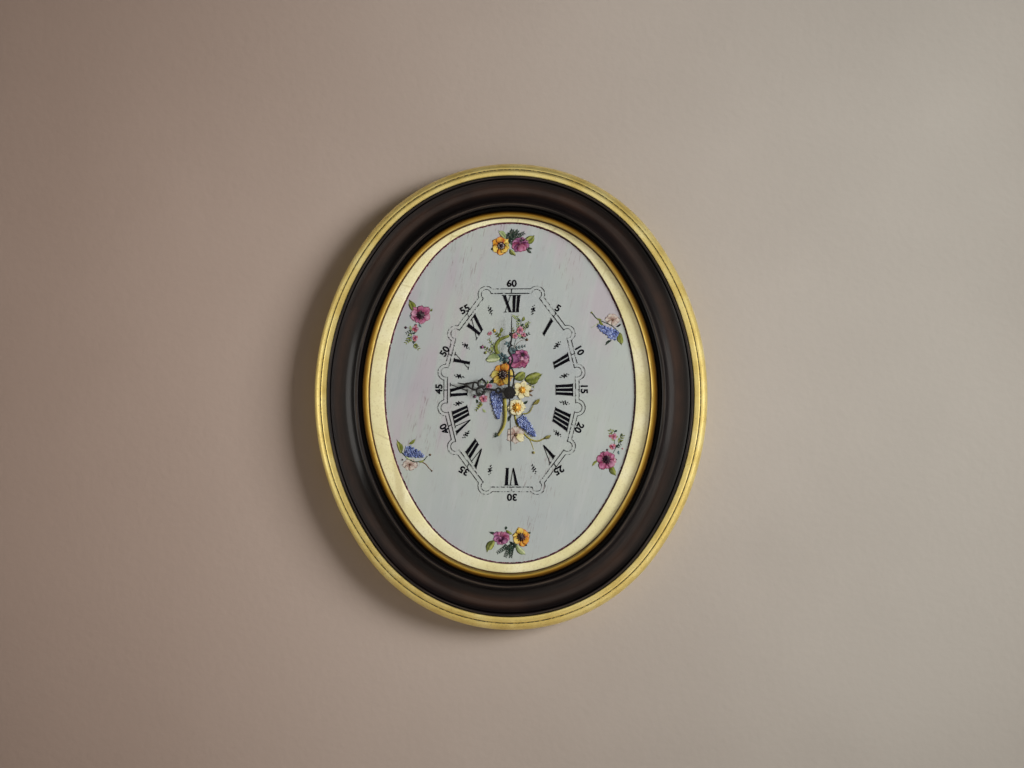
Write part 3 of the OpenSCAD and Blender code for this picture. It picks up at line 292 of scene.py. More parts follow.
def wornPrint(name, wear, dashed=0.0):
    f = Finish(name, 0.08, {"Roughness": 0.5})
    flecks = f.noise(1300, 3)
    gone = f.rise(flecks, 0.9 - wear, 0.97 - wear)
    if dashed:  # a line printed as short dashes in some stretches
        gaps = f.rise(f.noise(620, 1), 0.52, 0.55) * f.rise(f.noise(34, 2), 0.4, 0.46)
        gone = (gone + gaps * dashed).calc("MINIMUM", 1.0)
    tone = f.ramp(f.noise(200, 3), [(0.35, (5, 5, 9)), (0.65, (14, 14, 22))])
    return f.done(f.mix(gone, tone, (160, 166, 166)), flecks, 0.02, 0.4)


def petalPaint():
    f = Finish("petalPaint", 0.08, {"Roughness": 0.5})
    stroke = f.noise(800, 3, (1, 1, 0.6))
    tone = f.mix(f.rise(stroke, 0.4, 0.8) * 0.12, f.attribute("paint", "Color"), (222, 216, 204))
    tone = f.mix((1 - f.rise(stroke, 0.25, 0.45)) * 0.3, tone, (36, 26, 30))
    return f.done(tone, stroke, 0.03, 0.4)


def metal(name, light, dark, roughness=0.3, scale=400, stretch=(1, 1, 1), metallic=1.0):
    f = Finish(name, sockets={"Metallic": metallic})
    marks, cloud = f.noise(scale, 4, stretch), f.noise(90, 3)
    tone = f.mix(f.rise(marks * 0.6 + cloud * 0.4, 0.35, 0.65), dark, light)
    return f.done(tone, marks, 0.03, 0.35, {"Roughness": roughness - 0.08 + marks * 0.2})


def moulded(name, light, dark, roughness=0.45, scale=1400, inkedFrom=None):
    f = Finish(name, 0.45)
    grain, cloud = f.noise(scale, 2), f.noise(70, 3)
    tone = f.mix(f.rise(cloud * 0.7 + grain * 0.3, 0.35, 0.65), dark, light)
    if inkedFrom:  # the tip of the pin is blackened with the hands
        tone = f.mix(f.rise(f.outward(), inkedFrom, inkedFrom + 0.2), tone, (20, 19, 20))
    return f.done(tone, grain, 0.04, 0.5, {"Roughness": roughness - 0.06 + grain * 0.14})


def batteryWrap():
    f = Finish("batteryWrap")
    x = f.axis(0) * 1000
    film = f.noise(120, 3)
    wrap = f.ramp(film, [(0.3, (26, 64, 48)), (0.7, (38, 86, 64))])
    wrap = f.mix(f.band(x, 13.5, 23.2, 0.08), wrap, (182, 108, 52))
    ends = (1 - f.rise(x, -24.3, -24.2) + f.rise(x, 23.4, 23.5)).calc("MINIMUM", 1.0)
    return f.done(f.mix(ends, wrap, (176, 176, 172)), film, 0.05, 0.4, {
        "Metallic": 0.15 + ends * 0.8, "Roughness": 0.3 + film * 0.12})


def circuitFinish():
    f = Finish("circuitFinish")
    x, z = f.axis(0) * 1000, f.axis(2) * 1000
    bend = f.noise(260, 1) * 2
    tracks = f.rise((x * 1.1 + bend).calc("SINE") * (z * 0.9 + bend).calc("SINE"), 0.1, 0.16)
    tone = f.mix(tracks, (16, 62, 34), (34, 98, 54))
    tone = f.mix(f.rise(f.noise(700, 1), 0.74, 0.76) * 0.8, tone, (176, 176, 160))
    return f.done(tone, tracks, 0.04, 0.5, {"Roughness": 0.28 + tracks * 0.1})


def copperCoil():
    f = Finish("copperCoil", sockets={"Coat Weight": 0.3})
    turns = (f.axis(0) * 26000 + f.noise(200, 2) * 3).calc("SINE") * 0.5 + 0.5
    tone = f.mix(turns, (92, 38, 18), (184, 98, 48))
    return f.done(tone, turns, 0.08, 0.8, {
        "Metallic": 0.7 + turns * 0.2, "Roughness": 0.34 - turns * 0.08})


def addObject(name, data):
    made = bpy.data.objects.new(name, data)
    bpy.context.scene.collection.objects.link(made)
    return made


def meshObject(name, bm, material=None):
    mesh = bpy.data.meshes.new(name)
    bm.to_mesh(mesh)
    bm.free()
    if material:
        mesh.materials.append(material)
    return addObject(name, mesh)


def finishPiece(bm, name, material, body="clock_case", replaces=(), sharp=clock["sharp"], closed=True):
    if closed:
        bmesh.ops.recalc_face_normals(bm, faces=bm.faces)
    bm.transform(hang)
    piece = meshObject(name, bm, material)
    piece.data.shade_smooth()
    piece.data.set_sharp_from_angle(angle=math.radians(sharp))
    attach(piece, body)
    if replaces:
        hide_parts(*replaces)
    return piece


def sweepOval(bm, geom, halfWidth, halfHeight, lift=0, steps=(84, 64)):
    # four arcs on 3-4-5 triangles, anticlockwise from the right end of the top arc
    endUp, sideOut = 1.5 * (halfHeight - halfWidth), 2 * (halfHeight - halfWidth)
    endTurn, sideTurn = 2 * math.atan2(4, 3), 2 * math.atan2(3, 4)
    arcs = [(0, endUp, endTurn, steps[0]), (sideOut, 0, sideTurn, steps[1]),
            (0, -endUp, endTurn, steps[0]), (-sideOut, 0, sideTurn, steps[1])]
    for x, up, turn, count in arcs:
        spun = bmesh.ops.spin(bm, geom=geom, cent=(x, up + lift, 0), axis=(0, 0, 1), dvec=(0, 0, 0),
                              angle=turn, steps=count, use_merge=False, use_normal_flip=False,
                              use_duplicate=False)
        geom = spun["geom_last"]


def ovalStart(halfWidth, halfHeight, inset, lift, out):
    reach = halfHeight - 1.5 * (halfHeight - halfWidth) - inset
    return Vector((0.8 * reach, 1.5 * (halfHeight - halfWidth) + 0.6 * reach + lift, out))


def mouldingRing(name, section, material, replaces):
    bm = bmesh.new()
    layer = bm.verts.layers.float.new("inset")
    verts = []
    for inset, out in section:
        vert = bm.verts.new(ovalStart(clock["halfWidth"], clock["halfHeight"], inset, 0, out))
        vert[layer] = inset
        verts.append(vert)
    edges = [bm.edges.new((verts[i - 1], verts[i])) for i in range(len(verts))]
    sweepOval(bm, verts + edges, clock["halfWidth"], clock["halfHeight"])
    bmesh.ops.remove_doubles(bm, verts=bm.verts, dist=1e-4)
    return finishPiece(bm, name, material, replaces=replaces)


def bridgedRing(bm, loops, steps=(84, 64)):
    # loops: half width, half height, lift, height and inset; each is a spun vertex, bridged to the next
    layer = bm.verts.layers.float.new("inset")
    made = []
    for halfWidth, halfHeight, lift, out, value in loops:
        first = bm.verts.new(ovalStart(halfWidth, halfHeight, 0, lift, out))
        first[layer] = value
        before = set(bm.edges)
        sweepOval(bm, [first], halfWidth, halfHeight, lift, steps)
        edges = [e for e in bm.edges if e not in before]
        verts = list({v for e in edges for v in e.verts})
        bmesh.ops.remove_doubles(bm, verts=verts, dist=1e-4)
        made.append([e for e in bm.edges if e not in before])
    for one, two in zip(made, made[1:] + made[:1]):
        bmesh.ops.bridge_loops(bm, edges=one + two)


def roundBead(start, out, radius, count, rise=None, turn=180):
    turns = [math.radians(turn * i / count) for i in range(count + 1)]
    return [(start + radius * (1 - math.cos(t)), out + (rise or radius) * math.sin(t)) for t in turns]


# gilt rim
rim = {"tuck": 2.5, "belly": 9, "roundIn": 6.05, "roundOut": 11.2, "top": 21.2, "inner": 12, "ledgeOut": 8,
       "ledgeIn": 26, "backFrom": 2.9}
section = [(rim["tuck"] * (1 - i / 8) ** 2, rim["belly"] * i / 8) for i in range(8)]
section += roundBead(0, rim["belly"], rim["roundIn"], 18, rim["roundOut"], 90)
section += [(6.12, 19.6), (6.26, 19.35), (6.5, 19.32), (6.66, 19.6), (6.78, 20.2), (7, 20.6), (7.4, 20.86)]
section += [(8, 21.06), (8.8, 21.16), (9.6, rim["top"]), (10.4, 21.18), (11.1, 21.1), (11.6, 20.95)]
section += [(11.86, 20.7), (rim["inner"], 20.3), (rim["inner"], rim["ledgeOut"]),
            (rim["ledgeIn"], rim["ledgeOut"]), (rim["ledgeIn"], 0), (rim["backFrom"], 0)]
giltRim = mouldingRing("giltRim", section, rubbedGilt(), ["gilt_rim"])

# recess in its back for the hanger plate, the wall screw's head and the two fixing screws
recess = {"plate": (36.2, 17.2, 1.2), "plateUp": 175.75, "head": (10, 13.7, 6), "headUp": 175.05,
          "screwRadius": 1.5, "screwDepth": 6.7, "screwApart": 26, "overcut": 1,
          "side": 18.2, "low": -6.2, "high": 11.5, "deep": 7}  # the last four hold all its corners


def recessCut(bm, size, up):
    width, height, depth = size
    box = Matrix.Translation((0, up, (depth - recess["overcut"]) / 2)) \
        @ Matrix.Diagonal((width, height, depth + recess["overcut"], 1))
    bmesh.ops.create_cube(bm, size=1, matrix=box)


bm = bmesh.new()
recessCut(bm, recess["plate"], recess["plateUp"])
recessCut(bm, recess["head"], recess["headUp"])
for side in (-0.5, 0.5):
    hole = Matrix.Translation((side * recess["screwApart"], recess["plateUp"], recess["screwDepth"] / 2))
    bmesh.ops.create_cone(bm, cap_ends=True, segments=24, radius1=recess["screwRadius"],
                          radius2=recess["screwRadius"], depth=recess["screwDepth"], matrix=hole)
bm.transform(hang)
cutter = meshObject("recessCutter", bm)
cut = giltRim.modifiers.new("recess", "BOOLEAN")
cut.operation, cut.solver, cut.use_self, cut.object = "DIFFERENCE", "EXACT", True, cutter
carved = bpy.data.meshes.new_from_object(giltRim.evaluated_get(bpy.context.evaluated_depsgraph_get()))
giltRim.modifiers.clear()
bpy.data.objects.remove(cutter)
bm = bmesh.new()
bm.from_mesh(carved)
layer = bm.verts.layers.float["inset"]
for vert in bm.verts:  # the recess is bare wood
    x, y, z = vert.co / mm
    if abs(x) < recess["side"] and recess["low"] < z < recess["high"] and y > -recess["deep"]:
        vert[layer] = rim["ledgeIn"]
bm.to_mesh(carved)
bm.free()
carved.set_sharp_from_angle(angle=math.radians(clock["sharp"]))
giltRim.data = carved
print("recess cut:", len(carved.vertices))

# dark scooped moulding
cove = {"outer": 12.15, "beadRadius": 1.3, "beadOut": 22.7, "scoopFrom": 15.45, "scoopTo": 34.4,
        "lowest": 20.5, "turn": 0.43, "outerRise": 3.0, "innerRise": 6.4,
        "crestAt": 34.55, "crestOut": 26.9, "crestRadius": 1.9, "grooveIn": 38.95, "lip": 40.95}


def scoopRise(q):
    if q < cove["turn"]:
        return cove["outerRise"] * (1 - q / cove["turn"]) ** 2
    return cove["innerRise"] * ((q - cove["turn"]) / (1 - cove["turn"])) ** 2


section = [(cove["outer"], 8)]
section += roundBead(cove["outer"], cove["beadOut"], cove["beadRadius"], 12)
section += [(14.82, 21.8), (14.95, 21.6), (15.28, 21.62), (15.38, 22.4)]
section += [(cove["scoopFrom"] + (cove["scoopTo"] - cove["scoopFrom"]) * i / 30,
             cove["lowest"] + scoopRise(i / 30)) for i in range(31)]
section += roundBead(cove["crestAt"], cove["crestOut"], cove["crestRadius"], 16)
section += [(38.45, 24.9), (38.6, 24.45), (cove["grooveIn"], 24.3), (40.6, 24.3), (cove["lip"], 24.1),
            (cove["lip"], 23.15), (cove["grooveIn"], 23.1), (cove["grooveIn"], 8)]
mouldingRing("coveMoulding", section, darkWood(), ["cove_moulding"])

# gilt slip
slip = {"outer": 41.1, "beadWidth": 5.65, "base": 23.1, "beadOut": 25.5, "beadRise": 1.8, "inner": 47.35}
section = [(slip["outer"], slip["base"])]
section += roundBead(slip["outer"], slip["beadOut"], slip["beadWidth"] / 2, 12, slip["beadRise"])
section += [(46.8, 24.75), (46.95, 24.6), (47.2, 24.58), (slip["inner"], 24.45),
            (slip["inner"], slip["base"])]
mouldingRing("giltSlip", section, burnishedGold(), ["gilt_slip"])

# pale mat and the dark line round the white oval
mat = {"halfWidth": 102, "halfHeight": 138.5, "lift": 1.9, "outerWidth": 121.65, "outerHeight": 151.65,
       "base": 21.65, "face": 23.05}


def openingLoop(apart, out, value, lift=mat["lift"]):  # round the white oval, apart from its edge
    return mat["halfWidth"] + apart, mat["halfHeight"] + apart, lift, out, value


bm = bmesh.new()
bridgedRing(bm, [
    (mat["outerWidth"], mat["outerHeight"], 0, mat["base"], 20),
    (mat["outerWidth"], mat["outerHeight"], 0, mat["face"], 20),
    openingLoop(4, mat["face"], 4, mat["lift"] * 0.9), openingLoop(1.1, mat["face"], 1.1),
    openingLoop(0.4, 22.9, 0.4), openingLoop(0.06, 22.5, 0.06), openingLoop(0, mat["base"], 0)])
finishPiece(bm, "giltMat", paleMat(), replaces=["gilt_mat"])

dialEdge = {"steps": (420, 320), "wander": 0.55}
bm = bmesh.new()
bridgedRing(bm, [openingLoop(-0.05, 21.55, 0), openingLoop(-0.1, 21.95, 0), openingLoop(-0.5, 22, 0.45),
                 openingLoop(-0.95, 21.85, 0.8), openingLoop(-1.05, 21.55, 0.9)], dialEdge["steps"])
ragged = bm.verts.layers.float["inset"]
for vert in bm.verts:
    toCentre = Vector((-vert.co.x, -vert.co.y, 0)).normalized()
    wander = noise.noise(vert.co * 0.9) + 0.6 * noise.noise(vert.co * 2.6)
    vert.co += toCentre * vert[ragged] * dialEdge["wander"] * wander
finishPiece(bm, "dialEdge", paintedEdge(), sharp=60)
print("frame rings made")


def printPlace(x, up):  # on the dial's face, upright towards its centre
    turn = Matrix.Rotation(-math.atan2(x, up), 4, "Z")
    middle = clock["printX"] + x, clock["printUp"] + up, clock["dialFace"] + clock["printThickness"] / 2
    return Matrix.Translation(middle) @ turn


# printed minute numbers and half-hour marks
digits = {"size": 7.8, "weight": 0.038, "stretch": 1.06, "places": [
    ("60", 0.1, 86.6), ("5", 37.6, 66.2), ("10", 54.8, 32.1), ("15", 58.6, 0.9), ("20", 54.5, -30.6),
    ("25", 38, -65), ("30", 0.4, -86.6), ("35", -38.4, -65.3), ("40", -54.2, -31.4), ("45", -58.8, 0.9),
    ("50", -54.2, 31.4), ("55", -37.9, 65.6)]}
bm = bmesh.new()
for text, x, up in digits["places"]:
    curve = bpy.data.curves.new("digits", "FONT")
    curve.body, curve.size, curve.align_x, curve.align_y = text, digits["size"], "CENTER", "CENTER"
    curve.offset, curve.extrude = digits["weight"] * digits["size"], clock["printThickness"] / 2
    curve.resolution_u = 3
    holder = bpy.data.objects.new("digits", curve)
    mesh = bpy.data.meshes.new_from_object(holder)
    mesh.transform(printPlace(x, up) @ Matrix.Diagonal((digits["stretch"], 1, 1, 1)))
    bm.from_mesh(mesh)
    bpy.data.objects.remove(holder)
bmesh.ops.remove_doubles(bm, verts=bm.verts, dist=1e-4)
finishPiece(bm, "minuteNumbers", wornPrint("numberInk", 0.1))

marks = {"foot": 1.32, "top": 1.2, "places": [
    (17.6, 65.3), (37.1, 36.4), (42.9, 11.4), (43.1, -10.5), (37.1, -35.3), (18, -64.2), (-17.4, -64.9),
    (-36.8, -36.1), (-43.1, -10.9), (-42.6, 11.1), (-37.3, 36.1), (-17.4, 64.9)], "blobs": [
    (0, 3.7, 0.42), (-0.9, 2.3, 0.5), (0.9, 1.7, 0.55), (0, 0.6, 0.85), (-1.35, 0.1, 0.5),
    (1.3, -0.5, 0.6), (0, -1.2, 0.75), (-0.8, -2.2, 0.45), (0.5, -3.0, 0.5), (0, -4.0, 0.32)]}
bm = bmesh.new()
dice = random.Random(4)
for x, up in marks["places"]:
    for i, (across, along, radius) in enumerate(marks["blobs"]):
        blob = printPlace(x, up) @ Matrix.Translation((across, along, 0.01 * (i % 3))) \
            @ Matrix.Diagonal((1, dice.uniform(0.55, 1.1), 1, 1)) \
            @ Matrix.Rotation(dice.uniform(0, 3), 4, "Z")
        bmesh.ops.create_cone(bm, cap_ends=True, segments=9, radius1=radius * marks["foot"],
                              radius2=radius * marks["top"], depth=clock["printThickness"], matrix=blob)
finishPiece(bm, "halfHourMarks", wornPrint("markInk", 0.24))
print("print made")

# painted sprays
paints = {  # base, middle, light and edge tone of each paint
    "yellow": ((140, 84, 22), (202, 168, 60), (222, 204, 118), (132, 76, 24)),
    "orange": ((124, 64, 18), (200, 140, 42), (218, 174, 76), (146, 42, 22)),
    "lime": ((116, 92, 34), (190, 178, 84), (210, 200, 130), (112, 88, 36)),
    "mauve": ((58, 20, 50), (122, 62, 106), (178, 126, 162), (60, 16, 44)),
    "rose": ((82, 24, 54), (142, 68, 104), (184, 124, 156), (96, 20, 48)),
    "blush": ((98, 44, 72), (164, 110, 138), (198, 162, 180), (114, 34, 60)),
    "cream": ((200, 188, 122), (210, 204, 162), (220, 216, 186), (178, 168, 120)),
    "faded": ((134, 104, 94), (182, 174, 164), (196, 190, 182), (120, 92, 86)),
    "gold": ((150, 92, 24), (204, 150, 46), (228, 192, 90), (122, 72, 22)),
    "straw": ((88, 82, 32), (136, 130, 60), (170, 164, 94), (62, 58, 26)),
    "blue": ((36, 48, 98), (84, 102, 160), (158, 172, 210), (32, 42, 90)),
    "olive": ((66, 74, 26), (124, 134, 56), (172, 178, 98), (52, 58, 24)),
    "pale": ((100, 118, 74), (162, 176, 126), (198, 206, 168), (86, 102, 62)),
    "pine": ((14, 26, 26), (36, 56, 46), (76, 100, 78), (10, 20, 20)),
    "teal": ((42, 62, 70), (82, 108, 114), (138, 160, 162), (36, 54, 60)),
    "bark": ((48, 34, 24), (92, 66, 42), (138, 108, 74), (40, 28, 22)),
    "salmon": ((112, 40, 54), (164, 92, 104), (192, 144, 146), (116, 36, 50)),
    "heart": ((22, 8, 20), (46, 16, 38), (88, 44, 70), (16, 6, 14)),
}
brushwork = {"firstCoat": 0.022, "eachCoat": 0.0016, "film": 0.02,
             "floretRows": 1.35, "floretGap": 1.7, "sprigStem": 0.46}
# share of a stroke's width at each share of its length
petalWidths = [(0, 0.26), (0.18, 0.6), (0.42, 0.9), (0.66, 1), (0.84, 0.88), (0.95, 0.6), (1, 0.3)]
leafWidths = [(0, 0.2), (0.12, 0.6), (0.3, 0.98), (0.55, 1.08), (0.76, 0.92), (0.91, 0.56), (1, 0.08)]


def direction(turn):
    return Vector((math.cos(turn), math.sin(turn)))


def widthAt(table, r):
    for (low, first), (high, second) in zip(table, table[1:]):
        if r <= high:
            return first + (second - first) * (r - low) / (high - low)
    return table[-1][1]


class Spray:  # thin brush strokes, one over the other, in millimetres from the hands' axis
    def __init__(self, name, seed):
        self.name, self.bm, self.dice, self.coats = name, bmesh.new(), random.Random(seed), 0
        self.layer = self.bm.verts.layers.float_color.new("paint")

    def colour(self, paint, share, edge=0.0):
        tones = paints[paint]
        share = min(max(share, 0), 1) * 2
        low = min(int(share), 1)
        plain = [a + (b - a) * (share - low) for a, b in zip(tones[low], tones[low + 1])]
        return ink([a + (b - a) * edge for a, b in zip(plain, tones[3])])

    def place(self, vert, x, up, paint, share, edge=0.0):
        coat = brushwork["firstCoat"] + brushwork["eachCoat"] * self.coats
        vert.co = (x, clock["hubUp"] + up, clock["dialFace"] + coat)
        vert[self.layer] = self.colour(paint, share, edge)

    def stroke(self, start, end, width, paint, outline=petalWidths, bow=0.0, cells=(6, 8), vein=0.0):
        self.coats += 1
        start, end = Vector(start), Vector(end)
        go = end - start
        side = Vector((go.y, -go.x)).normalized()
        grid = bmesh.ops.create_grid(self.bm, x_segments=cells[0], y_segments=cells[1], size=1)
        ripple = [self.dice.uniform(-0.12, 0.1) for _ in range(cells[0] + 1)]  # uneven tip
        streak = [self.dice.uniform(-0.26, 0.26) for _ in range(cells[0] + 1)]  # lighter and darker hairs
        for vert in grid["verts"]:
            across, r = vert.co.x, (vert.co.y + 1) / 2
            column = round((across + 1) / 2 * cells[0])
            reach = r * (1 - 0.1 * across ** 2 + ripple[column] * r)
            away = across * width / 2 * widthAt(outline, r) + bow * go.length * math.sin(math.pi * r)
            spot = start + go * reach + side * away
            edge = max(abs(across) ** 4, max(0, r - 0.86) * 6) * 0.95
            share = r * 1.05 + streak[column]
            if vein:
                wideLeaf = cells[0] > 2
                middle = vein * (1 - min(1, abs(across) * 3)) * wideLeaf
                edge = max(edge * (0.8 if wideLeaf else 0.3), middle)
                share = 0.25 + 0.4 * r + (0.3 if across < 0 else -0.1) + streak[column]
            self.place(vert, spot.x, spot.y, paint, share, edge)

    def leaf(self, start, end, width, paint="pine", bow=0.08, cells=(4, 8)):
        self.stroke(start, end, width, paint, leafWidths, bow, cells, 0.5)

    def dot(self, x, up, radius, paint, share=0.5, raised=True):
        self.coats += raised
        disc = bmesh.ops.create_circle(self.bm, cap_ends=True, segments=9, radius=radius)
        for vert in disc["verts"]:
            self.place(vert, x + vert.co.x, up + vert.co.y, paint, share + self.dice.uniform(-0.1, 0.1))

    def stem(self, points, width, paint="pine"):
        self.coats += 1
        grid = bmesh.ops.create_grid(self.bm, x_segments=2, y_segments=5 * (len(points) - 1), size=1)
        ends = [points[0], *points, points[-1]]
        for vert in grid["verts"]:
            along = min((vert.co.y + 1) / 2 * (len(points) - 1), len(points) - 1.001)
            i, t = int(along), along - int(along)
            a, b, c, d = (Vector(p) for p in ends[i:i + 4])
            # a smooth curve through the points
            bend, swing = 2 * a - 5 * b + 4 * c - d, 3 * b - a - 3 * c + d
            here = 0.5 * (2 * b + (c - a) * t + bend * t * t + swing * t ** 3)
            go = (0.5 * ((c - a) + 2 * bend * t + 3 * swing * t * t)).normalized()
            across = vert.co.x
            side = Vector((go.y, -go.x)) * width / 2 * across * (1.1 - 0.4 * along / (len(points) - 1))
            self.place(vert, here.x + side.x, here.y + side.y, paint, 0.45 - 0.3 * across)

    def ring(self, x, up, reach, count, radius, paint, share):
        self.coats += 1
        for i in range(count):
            turn = math.tau * (i + self.dice.uniform(-0.2, 0.2)) / count
            self.dot(x + reach * math.cos(turn), up + reach * math.sin(turn), radius, paint, share, False)

    def bloom(self, x, up, main, petals, disc, width=7.2, heart="heart", stamens="heart"):
        for angle, length, *own in petals:  # a petal may have its own paint and width
            paint, wide = own + [main, width][len(own):]
            out, spot = direction(math.radians(angle)), Vector((x, up))
            self.stroke(spot + out * disc * 0.3, spot + out * length, wide, paint)
        if disc:
            self.ring(x, up, disc * 1.08, 11, disc * 0.16, heart, 0.2)
            self.dot(x, up, disc, heart, 0.3)
            self.ring(x, up, disc * 0.66, 9, disc * 0.12, stamens, 0.6)
            self.dot(x, up, disc * 0.36, heart, 0.05 if heart == "heart" else 0.9)

    def blossom(self, x, up, reach):
        turn = self.dice.uniform(0, 72)
        paints = ["salmon", "blush", "salmon", "salmon", "blush"]
        petals = [(turn + 72 * i, reach * self.dice.uniform(0.85, 1.15), paint)
                  for i, paint in enumerate(paints)]
        self.bloom(x, up, "salmon", petals, 0, reach * 1.05)
        self.dot(x, up, reach * 0.24, "rose", 0.1)

    def hyacinth(self, wide, narrow, width):
        wide, narrow = Vector(wide), Vector(narrow)
        go = narrow - wide
        side = Vector((go.y, -go.x)).normalized()
        rows = round(go.length / brushwork["floretRows"])
        for i in range(rows + 1):
            r = i / rows
            spread = width / 2 * min(1, 0.8 + 1.6 * r) * (1 - 0.78 * r ** 1.9)
            count = max(1, round(spread * 2 / brushwork["floretGap"]) + 1)
            for k in range(count):
                across = (2 * (k + 0.5 + 0.5 * (i % 2)) / count - 1) * spread
                spot = wide + go * r + side * (across + self.dice.uniform(-0.35, 0.35))
                floret = self.dice.uniform(0.8, 1.15)
                self.dot(spot.x, spot.y, floret, "blue", self.dice.uniform(0.05, 0.95))
                glint = self.dice.uniform(0.28, 0.46)
                self.dot(spot.x + 0.3, spot.y + 0.35, glint, "blue", self.dice.uniform(0.75, 1.0))

    def sprig(self, start, end, pairs=5, size=2.4, paint="pine"):
        start, end = Vector(start), Vector(end)
        go = (end - start).normalized()
        side = Vector((go.y, -go.x))
        self.stem([start, end], brushwork["sprigStem"])
        for i in range(pairs):
            spot = start + (end - start) * (i + 1) / pairs
            reach = size * (1.1 - 0.5 * i / pairs)
            for hand in (-1, 1):
                tip = spot + (go * 0.75 + side * hand * 0.7) * reach
                self.leaf(spot, tip, reach * 0.4, paint, 0.06 * hand, (2, 3))

    def tuft(self, x, up, reach, count, paint="pine"):
        for i in range(count):
            turn = math.tau * (i * 0.38 + self.dice.uniform(-0.04, 0.04))
            out, spot = direction(turn) * reach * self.dice.uniform(0.75, 1.1), Vector((x, up))
            self.leaf(spot + out * 0.1, spot + out, reach * 0.5, paint, 0.1, (2, 4))

    def leaves(self, rows):
        for x, up, x2, up2, width, *paint in rows:  # dark pine unless said
            self.leaf((x, up), (x2, up2), width, *paint)

    def buds(self, rows):
        for x, up, radius, paint in rows:
            self.dot(x, up, radius, paint, 0.25)
            self.dot(x + radius * 0.2, up + radius * 0.25, radius * 0.62, paint, 0.7)

    def done(self):
        piece = finishPiece(self.bm, self.name, petals, sharp=180, closed=False)
        film = piece.modifiers.new("film", "SOLIDIFY")
        film.thickness, film.offset = brushwork["film"] * mm, -1


def sixPetals(first, lengths):
    return [(first + 60 * i, length) for i, length in enumerate(lengths)]


petals = petalPaint()

spray = Spray("topSpray", 11)
for tip in [(2.1, 132.8), (6.2, 132.2), (11.2, 130.3)]:
    spray.sprig((-0.6 + tip[0] * 0.2, 126), tip, 7, 3.1)
spray.tuft(-1.2, 127.2, 3.8, 9)
spray.tuft(1.6, 124.4, 4.2, 8)
spray.leaves([
    (-3.7, 126.2, -9.4, 133, 4.2, "pale"), (11.6, 122.6, 20.3, 128.5, 6.2, "olive"),
    (0, 117.2, 4.8, 112.1, 3.4, "olive"), (14, 117.7, 18, 113.9, 2), (-10, 124, -13.6, 125, 2),
    (-12.8, 117.8, -15.6, 116.8, 2), (14.4, 119, 18.4, 117.4, 1.8)])
spray.bloom(8.9, 121.6, "mauve", [
    (20, 6.6), (95, 5.2), (130, 6), (60, 5.6), (165, 7.6, "mauve", 6), (-18, 7.4, "mauve", 6),
    (200, 8, "rose"), (-50, 6.8, "rose"), (235, 7.6), (268, 6.8, "rose")], 0, 6.2)
spray.bloom(9.2, 124, "heart", [
    (60, 3.6, "mauve", 2.6), (100, 3.4, "heart", 2.2), (140, 3.6, "mauve", 2.6), (20, 3.4, "heart", 2)
], 0.8, 2.6)
spray.bloom(-7, 120, "orange", [
    (150, 8.2), (42, 8, "yellow"), (205, 8, "yellow"), (270, 7.8), (-12, 6.8, "lime"), (-50, 6.8, "yellow"),
    (100, 7.8)], 3.1, 7.4, stamens="faded")
spray.done()

spray = Spray("bottomSpray", 12)
for tip in [(-9.5, -128.9), (-3.3, -131.8), (0.8, -132.2)]:
    spray.sprig((1.6 + tip[0] * 0.2, -122.6), tip, 7, 3.1)
spray.tuft(2.2, -123.1, 4, 9)
spray.leaves([
    (-12.6, -119.4, -18, -128.4, 5.8, "olive"), (5.4, -123, 13.2, -131.2, 4.6, "pale"),
    (-3, -111, 2.2, -114.6, 2.6, "olive"), (-11.4, -115, -16.9, -112.5, 2), (14, -114, 17.2, -112.4, 2),
    (11.6, -121.6, 14.4, -123.6, 2), (-3.4, -110.6, -3, -107.6, 2)])
spray.bloom(-6.2, -117, "mauve", [
    (25, 6.8), (155, 7.8), (90, 4.6), (125, 5.6, "rose"), (60, 5.2, "rose"), (190, 7.8, "mauve", 6),
    (-12, 6.4, "rose", 6), (232, 6.6), (270, 5.6, "rose"), (305, 6.2)], 0, 6.2)
spray.bloom(-6.5, -119.2, "heart", [
    (60, 3.2, "heart", 2), (120, 3.4, "mauve", 2.4), (200, 2.8, "heart", 2), (-20, 3, "mauve", 2.4)
], 0.7, 2.4)
spray.bloom(9.1, -116.5, "yellow", [
    (168, 6.6), (290, 8, "orange"), (15, 7.5), (215, 7.2), (325, 7.6, "orange"), (45, 7, "orange"),
    (100, 7.8)], 3.1, 7.2, stamens="bark")
spray.done()

spray = Spray("upperLeftSpray", 13)
spray.stem([(-77.2, 56.5), (-79, 51.6), (-80.2, 46.4), (-79.4, 41.5), (-76.4, 38)], 0.5)
spray.stem([(-79, 51.6), (-82.2, 53), (-84.6, 53.6)], 0.4)
spray.leaves([
    (-78.6, 67, -82.2, 76, 5.4, "olive"), (-80.8, 50.8, -81.6, 55.2, 1.8, "pale"),
    (-79.6, 48.6, -83.4, 46.2, 1.7), (-80, 46.4, -82.6, 48.2, 1.4, "pale"), (-80, 45, -84.8, 43.8, 1.5),
    (-79.6, 42.8, -83.4, 41.6, 1.5, "pale"), (-79.4, 42, -76.4, 41.6, 1.4), (-78, 40, -74.8, 39, 1.5),
    (-77.4, 39, -77.2, 36, 1.4, "pale"), (-79.6, 48.6, -76.4, 49.6, 1.5),
    (-64.8, 66.6, -63.2, 69, 1.6, "olive"), (-79.2, 64, -82, 62, 1.8, "teal"),
    (-74, 56.6, -72, 53.6, 1.8, "teal")])
spray.sprig((-80, 46.4), (-84.4, 41.2), 3, 2.8, "olive")
spray.sprig((-79.4, 41.5), (-74.6, 36.4), 3, 2.8, "olive")
spray.sprig((-79, 51.6), (-84, 49), 3, 2, "pine")
spray.buds([(-84.9, 53.4, 1.1, "heart"), (-76.2, 55.4, 0.9, "rose")])
spray.blossom(-77.1, 52.6, 2.7)
